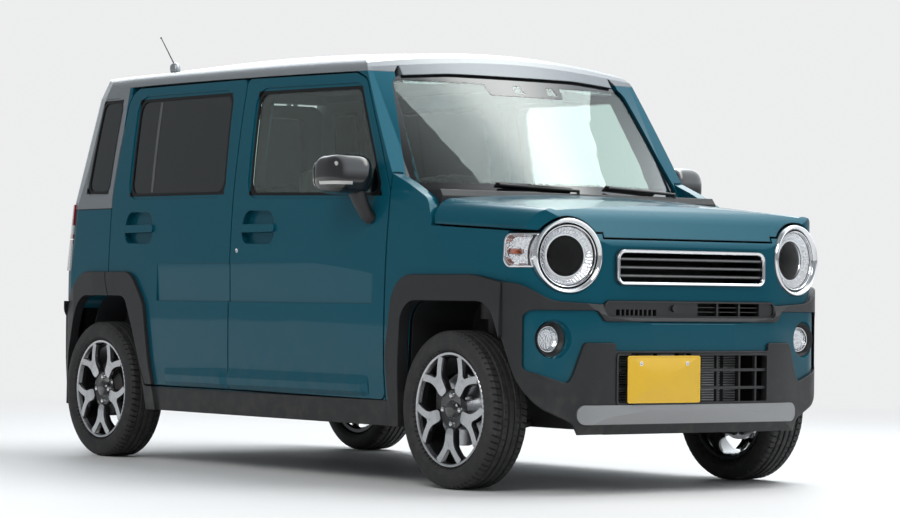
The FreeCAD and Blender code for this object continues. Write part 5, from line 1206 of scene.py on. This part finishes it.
MIRROR_MIDDLE = (0.638, -0.802, 1.121)
MIRROR_HALF = (0.0815, 0.0885, 0.0745)
MIRROR_FLAT = 0.86
MIRROR_LEAN = 0.16
MIRROR_GLASS = [(-0.876, 1.066, 0.034), (-0.880, 1.172, 0.036), (-0.738, 1.178, 0.036),
                (-0.738, 1.062, 0.034)]
MIRROR_STALK = [(0.682, -0.706, 0.962), (0.682, -0.724, 0.975), (0.680, -0.742, 1.005),
                (0.674, -0.756, 1.040), (0.664, -0.768, 1.075)]


def mirror_shell():
    """The housing: a superellipsoid, flat behind, whose lower outer corner draws in and whose nose drops."""
    up = np.linspace(-math.pi / 2, math.pi / 2, 72)[:, None]
    about = np.linspace(0, TURN, 144, endpoint=False)[None, :]

    a = power(np.cos(up), 0.55) * power(np.cos(about), 0.60)
    b = power(np.cos(up), 0.55) * power(np.sin(about), 0.42)
    c = power(np.sin(up), 0.50) * np.ones_like(about)
    ahead = np.where(a > 0, a, a * MIRROR_FLAT) * (1 - 0.16 * np.clip(c, 0, 1) ** 2)
    outer = np.clip(-b, 0, 1) ** 2
    out = b * (1 - 0.085 * np.clip(-c, 0, 1) ** 2 * outer - 0.05 * np.clip(a, 0, 1) ** 2 * outer)
    x = MIRROR_MIDDLE[0] + MIRROR_HALF[0] * (ahead + MIRROR_LEAN * b)
    y = MIRROR_MIDDLE[1] + MIRROR_HALF[1] * out
    z = MIRROR_MIDDLE[2] + MIRROR_HALF[2] * c * (1 - 0.07 * outer)
    return np.stack([x, y, z], axis=-1)


class KEICAR_OT_mirrors(bpy.types.Operator):
    """Door mirrors: gloss housings on bent stalks, with a light strip in front and glass behind"""
    bl_idname = "keicar.mirrors"
    bl_label = "Mirrors"

    def execute(self, context):
        black = finish(gloss_black, "mirror_black", True)
        lower = finish(soft_plastic, "mirror_foot", rgb(0.014, 0.014, 0.015), 0.45)
        silver = finish(chrome, "mirror_face", rgb(0.90, 0.91, 0.92), 0.015)
        for side, way in SIDES.items():
            flip = np.array([1.0, -way, 1.0])
            shape = Shape()
            shape.grid(mirror_shell() * flip, wrap_v=True, finish=0)
            points = slab(Shape(), MIRROR_GLASS, 0.0, -0.0035, "x", 0.0012, steps=8).points[0]
            lean = MIRROR_LEAN * MIRROR_HALF[0] / MIRROR_HALF[1]
            points[:, 0] += MIRROR_MIDDLE[0] - MIRROR_FLAT * MIRROR_HALF[0] + 0.002
            points[:, 0] += (points[:, 1] - MIRROR_MIDDLE[1]) * lean
            shape.grid(points.reshape(6, -1, 3) * flip, wrap_v=True, finish=2)
            line = smooth_line(MIRROR_STALK, 16)
            size = np.interp(np.linspace(0, 1, 16), [0, 0.2, 1], [0.026, 0.027, 0.034])
            stalk = tube(line, size, 28)
            centre = np.concatenate([line[:1], line, line[-1:]])[:, None, :]
            stalk = centre + (stalk - centre) * np.array([1.25, 0.72, 1.0])
            shape.grid(stalk * flip, wrap_v=True, finish=1)
            piece = shape.make(f"door_mirror_{side}", [black, lower, silver], 50.0)
            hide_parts(f"mirror_{side}")
            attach(piece, f"door_front_{side}")
        return {"FINISHED"}


FIN_AT = (-1.1705, -0.430)
MAST_FOOT = (-1.172, -0.430)
MAST_TIP = (-1.2735, -0.4398)
MAST_COILS = 24
MAST_END = [(-0.004, 0.0), (-0.003, 0.0034), (0.0, 0.0042), (0.003, 0.0034), (0.004, 0.0)]


class KEICAR_OT_antenna(bpy.types.Operator):
    """Roof antenna: a pale fin with a raked mast wound with a fine coil"""
    bl_idname = "keicar.antenna"
    bl_label = "Antenna"

    def execute(self, context):
        pale = finish(satin_paint, "fin_grey", rgb(0.34, 0.36, 0.38))
        mast = finish(soft_plastic, "mast_black", rgb(0.055, 0.056, 0.058), 0.35)
        low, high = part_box("antenna")
        shape = Shape()
        fin = pillow((*FIN_AT, low.z + 0.018), (0.0255, 0.0180, 0.0260), 0.0, 0.8, 0.8, 28, 40)
        fin[..., 0] += (fin[..., 2] - low.z) * -0.10
        shape.grid(fin, wrap_v=True)
        share = np.linspace(0, 1, 220)
        line = np.linspace((*MAST_FOOT, low.z + 0.030), (*MAST_TIP, high.z - 0.004), 220)
        size = 0.0030 - 0.0010 * share + 0.00045 * np.sin(share * TURN * MAST_COILS)
        shape.grid(tube(line, size), wrap_v=True, finish=1)
        tip = ring_of(MAST_END, (*MAST_TIP, high.z - 0.005), "z", 16)
        shape.grid(tip, wrap_u=True, finish=1)
        piece = shape.make("roof_antenna", [pale, mast], 40.0)
        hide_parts("antenna")
        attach(piece, "body")
        return {"FINISHED"}


# Seats, in the space that the solids hold

RECLINE = -math.radians(13.7)
CUSHION_TILT = -math.radians(4.6)
HEAD_TILT = -math.radians(8.0)
SEAM_WIDTH = 0.009
CLOTH_PRESSURE = 4.0
CLOTH_FRAMES = 20
HEAD_POST = ((-0.170, 0.93), (-0.178, 1.00), (-0.186, 1.06))

# Name, node, rear end of the cushion, half width, drop of the backrest, seams, copies as (offset in y, side)
SEATS = (
    ("front_seat", "front_seats", 0.0, 0.225, 0.0, (-0.11, 0.11), ((-0.315, 1), (0.315, -1))),
    ("rear_bench", "rear_seat", -0.740, 0.535, -0.038, (-0.36, -0.18, 0.0, 0.18, 0.36), ((0.0, 1),)))


def pillow(middle, half, turn=0.0, round_end=0.42, round_side=0.36, rows=40, columns=72):
    """A superellipsoid: each of its three half sizes times powers of the sines and cosines of two angles.

    It is turned about the y axis and set at middle.
    """
    up = np.linspace(-math.pi / 2, math.pi / 2, rows)[:, None]
    about = np.linspace(0, TURN, columns, endpoint=False)[None, :]

    x = half[0] * power(np.cos(up), round_end) * power(np.cos(about), round_side)
    y = half[1] * power(np.cos(up), round_end) * power(np.sin(about), round_side)
    z = half[2] * power(np.sin(up), round_end) * np.ones_like(about)
    c, s = math.cos(turn), math.sin(turn)
    return np.stack([x * c + z * s, y, z * c - x * s], axis=-1) + np.array(middle)


def settled(piece):
    """The piece's own mesh made from its modifiers' result."""
    graph = bpy.context.evaluated_depsgraph_get()
    mesh = bpy.data.meshes.new_from_object(piece.evaluated_get(graph))
    piece.modifiers.clear()
    piece.data = mesh


def coordinates(mesh):
    points = np.empty(len(mesh.vertices) * 3, np.float32)
    mesh.vertices.foreach_get("co", points)
    return points.reshape(-1, 3).astype(float)


def stuffed(surface, name, voxel, cap):
    """A pad swollen by cloth simulation: a closed surface, remeshed evenly, whose points move cap at most."""
    piece = Shape().grid(surface, wrap_v=True).make(name, [], 180.0)
    remesh = piece.modifiers.new("even", "REMESH")
    remesh.mode, remesh.voxel_size = "VOXEL", voxel
    settled(piece)
    before = coordinates(piece.data)
    cloth = piece.modifiers.new("cloth", "CLOTH").settings
    cloth.use_pressure = True
    cloth.uniform_pressure_force = CLOTH_PRESSURE
    cloth.effector_weights.gravity = 0.0
    for frame_number in range(1, CLOTH_FRAMES + 1):
        bpy.context.scene.frame_set(frame_number)
    settled(piece)
    bpy.context.scene.frame_set(1)
    moved = coordinates(piece.data) - before
    length = np.linalg.norm(moved, axis=1, keepdims=True)
    before = before + moved * np.minimum(1.0, cap / np.maximum(length, 1e-9))
    faces = np.empty(len(piece.data.polygons) * 4, np.int32)
    piece.data.polygons.foreach_get("vertices", faces)
    bpy.data.objects.remove(piece)
    return before, faces.reshape(-1, 4)


def channel(points, at, axis, middle, depth=0.007):
    """Sewn channels: near each line across an axis the points draw in towards the pad's middle."""
    draw = np.zeros(len(points))
    for line in at:
        draw += np.exp(-((points[:, axis] - line) / SEAM_WIDTH) ** 2)
    inward = np.array(middle) - points
    inward[:, axis] = 0.0
    inward /= np.maximum(np.linalg.norm(inward, axis=1, keepdims=True), 1e-6)
    return points + inward * (draw * depth)[:, None]


def upholstery(name, pads, material, copies):
    """One object of several pads, repeated for each copy's (offset in y, side), with one subdivision."""
    points, faces, count = [], [], 0
    for offset, way in copies:
        for pad_points, pad_faces in pads:
            points.append(pad_points * np.array([1, way, 1]) + np.array([0, offset, 0]))
            faces.append((pad_faces if way > 0 else pad_faces[:, ::-1]) + count)
            count += len(pad_points)
    points, faces = np.vstack(points), np.vstack(faces)
    mesh = bpy.data.meshes.new(name)
    mesh.from_pydata(points, [], faces)
    mesh.materials.append(material)
    mesh.shade_smooth()
    piece = bpy.data.objects.new(name, mesh)
    bpy.context.scene.collection.objects.link(piece)
    smooth = piece.modifiers.new("smooth", "SUBSURF")
    smooth.levels = smooth.render_levels = 1
    return piece


class KEICAR_OT_seats(bpy.types.Operator):
    """Front seats and rear bench: stuffed cloth pads on moulded bases, with headrests on steel posts"""
    bl_idname = "keicar.seats"
    bl_label = "Seats"

    def execute(self, context):
        cloth = finish(woven_fabric, "seat_cloth", rgb(0.085, 0.085, 0.090))
        shroud = finish(soft_plastic, "seat_base", rgb(0.020, 0.020, 0.021), 0.5)
        steel = finish(chrome, "post_steel")
        for name, node, base_x, half, drop, seams, copies in SEATS:
            middle = (base_x + 0.205, 0.0, 0.505)
            cushion = pillow(middle, (0.236, half, 0.066), CUSHION_TILT)
            points, faces = stuffed(cushion, f"{name}_cushion", 0.014, 0.010)
            points = channel(points, seams, 1, middle)
            pads = [(channel(points, (base_x + 0.02, base_x + 0.37), 0, middle, 0.004), faces)]
            middle = (base_x - 0.106, 0.0, 0.715 + drop * 0.5)
            back = pillow(middle, (0.044, half - 0.012, 0.272 + drop * 0.5), RECLINE)
            points, faces = stuffed(back, f"{name}_back", 0.014, 0.010)
            points = channel(points, seams, 1, middle)
            pads.append((channel(points, (0.60, 0.86), 2, middle, 0.005), faces))
            head = pillow((base_x - 0.185, 0.0, 1.100 + drop), (0.036, 0.118, 0.074), HEAD_TILT)
            pads.append(stuffed(head, f"{name}_head", 0.010, 0.006))
            if name == "front_seat":
                bolster = pillow((-0.083, -0.176, 0.690), (0.050, 0.034, 0.200), RECLINE)
                points, faces = stuffed(bolster, "bolster", 0.012, 0.006)
                pads += [(points, faces), (points * np.array([1, -1, 1]), faces[:, ::-1])]
            seat = upholstery(f"{name}_cloth", pads, cloth, copies)
            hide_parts(node)
            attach(seat, "body")
            shape = Shape()
            front, rear, width = base_x + 0.430, base_x - 0.045, half + 0.012
            for offset, _ in copies:
                corners = [(rear, offset - width, 0.04), (front, offset - width, 0.04),
                           (front, offset + width, 0.04), (rear, offset + width, 0.04)]
                slab(shape, corners, 0.302, 0.470, "z", 0.012)
                for y in (offset - 0.06, offset + 0.06):
                    line = [(base_x + x, y, z + drop) for x, z in HEAD_POST]
                    shape.grid(tube(line, 0.0065, 16), wrap_v=True, finish=1)
            base = shape.make(f"{name}_base", [shroud, steel], 35.0)
            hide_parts(node)
            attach(base, "body")
        return {"FINISHED"}


# Stage

CAMERA_AT = Vector((9.92848, -7.10250, 0.67323))
CAMERA_YAW = 143.8389
CAMERA_PITCH = 0.72649
CAMERA_ROLL = 0.62811

# What glossy surfaces see of the studio, and the light that everything else gets from it
WALL_LEVEL, CEILING_LEVEL, SOFT_BOX_LEVEL, FILL_LEVEL = 0.36, 1.60, 6.0, 0.50

# Name, place, diameter, power and colour
LIGHTS = (
    ("key", (4.5, -6.0, 6.0), 4.4, 260.0, (1.0, 0.99, 0.97)),
    ("overhead", (0.9, 2.6, 6.5), 5.06, 420.0, (0.96, 0.98, 1.0)),
    ("back", (-6.5, 3.0, 5.0), 5.5, 120.0, (0.94, 0.97, 1.0)))
LIGHTS_AIM = Vector((0.6, 0, 1.0))


class KEICAR_OT_stage(bpy.types.Operator):
    """Floor, soft lights and the camera at the photograph's angle"""
    bl_idname = "keicar.stage"
    bl_label = "Stage"

    def execute(self, context):
        scene = context.scene
        half = sizes().floor_size
        shape = Shape()
        u = np.linspace(-half, half, 3)
        a, b = np.meshgrid(u, u, indexing="ij")
        shape.grid(np.stack([a, b, np.full_like(a, -0.0005)], axis=-1))
        floor = shape.make("studio_floor", [finish(studio_floor, "floor")])
        scene.world = bpy.data.worlds.new("studio")
        graph = Graph("studio", scene.world)
        paths = graph.add("ShaderNodeLightPath").socket.node
        camera_ray, glossy_ray, through_ray = (Field(graph, paths.outputs[key]) for key in (
            "Is Camera Ray", "Is Glossy Ray", "Is Transmission Ray"))
        _, y, z = graph.axes()

        def background(colour, strength):
            return graph.add("ShaderNodeBackground", values={"Color": colour, "Strength": strength})

        def mix(share, low, high):
            return graph.add("ShaderNodeMixShader", values={0: share, 1: low, 2: high})

        wall = background(rgb(0.88, 0.94, 0.97), WALL_LEVEL)
        ceiling = background(rgb(0.90, 0.96, 1.0), CEILING_LEVEL)
        reflected = mix(z.ramp(0.02, 0.15) * y.ramp(-0.15, 0.35), wall, ceiling)
        soft_box = (1 - abs(y - 0.55).ramp(0.02, 0.17)) * z.ramp(0.30, 0.55)
        reflected = mix(soft_box, reflected, background(rgb(0.97, 1.0, 0.98), SOFT_BOX_LEVEL))
        light = mix(glossy_ray, background(rgb(0.93, 0.97, 1.0), FILL_LEVEL), reflected)
        mixed = mix(camera_ray.largest(through_ray), light, background(BACKDROP, BACKDROP_LEVEL))
        graph.add("ShaderNodeOutputWorld", values={"Surface": mixed})
        for name, place, size, energy, colour in LIGHTS:
            lamp = bpy.data.lights.new(name, "AREA")
            lamp.shape, lamp.size, lamp.energy, lamp.color = "DISK", size, energy, colour
            holder = bpy.data.objects.new(name, lamp)
            holder.location = place
            holder.rotation_euler = (LIGHTS_AIM - Vector(place)).to_track_quat("-Z", "Y").to_euler()
            holder.visible_glossy = name != "overhead"
            scene.collection.objects.link(holder)
        camera = bpy.data.cameras.new("camera")
        camera.sensor_fit = "HORIZONTAL"
        camera.sensor_width = 36.0
        camera.lens = sizes().camera_lens
        camera.clip_end = 200.0
        holder = bpy.data.objects.new("camera", camera)
        yaw, pitch, roll = (math.radians(value) for value in (CAMERA_YAW, CAMERA_PITCH, CAMERA_ROLL))
        ahead = Vector((math.cos(yaw) * math.cos(pitch), math.sin(yaw) * math.cos(pitch), math.sin(pitch)))
        level = Vector((math.sin(yaw), -math.cos(yaw), 0.0))
        upward = level.cross(ahead)
        right = level * math.cos(roll) + upward * math.sin(roll)
        up = upward * math.cos(roll) - level * math.sin(roll)
        turn = Matrix((right, up, -ahead)).transposed()
        holder.matrix_world = Matrix.Translation(CAMERA_AT) @ turn.to_4x4()
        scene.collection.objects.link(holder)
        scene.camera = holder
        scene.view_settings.view_transform = "Standard"
        return {"FINISHED"}


OPERATORS = (KEICAR_OT_paint, KEICAR_OT_plastics, KEICAR_OT_glass, KEICAR_OT_running_gear, KEICAR_OT_tyres,
             KEICAR_OT_rims, KEICAR_OT_headlamps, KEICAR_OT_grille, KEICAR_OT_plate, KEICAR_OT_trim,
             KEICAR_OT_mirrors, KEICAR_OT_antenna, KEICAR_OT_seats, KEICAR_OT_stage)


class KEICAR_PT_panel(bpy.types.Panel):
    """Lists the steps that dress the car"""
    bl_idname = "KEICAR_PT_panel"
    bl_label = "Kei car"
    bl_space_type = "VIEW_3D"
    bl_region_type = "UI"
    bl_category = "Kei car"

    def draw(self, context):
        for group in (context.scene.kei_car_colours, context.scene.kei_car_sizes):
            for name in group.__annotations__:
                self.layout.prop(group, name)
        for operator in OPERATORS:
            self.layout.operator(operator.bl_idname)


CLASSES = (KeiCarColours, KeiCarSizes, *OPERATORS, KEICAR_PT_panel)


def register():
    for item in CLASSES:
        bpy.utils.register_class(item)
    bpy.types.Scene.kei_car_colours = bpy.props.PointerProperty(type=KeiCarColours)
    bpy.types.Scene.kei_car_sizes = bpy.props.PointerProperty(type=KeiCarSizes)


def unregister():
    del bpy.types.Scene.kei_car_colours
    del bpy.types.Scene.kei_car_sizes
    for item in reversed(CLASSES):
        bpy.utils.unregister_class(item)


def main():
    register()
    for operator in OPERATORS:
        group, name = operator.bl_idname.split(".")
        getattr(getattr(bpy.ops, group), name)()


if __name__ == "__main__":
    main()
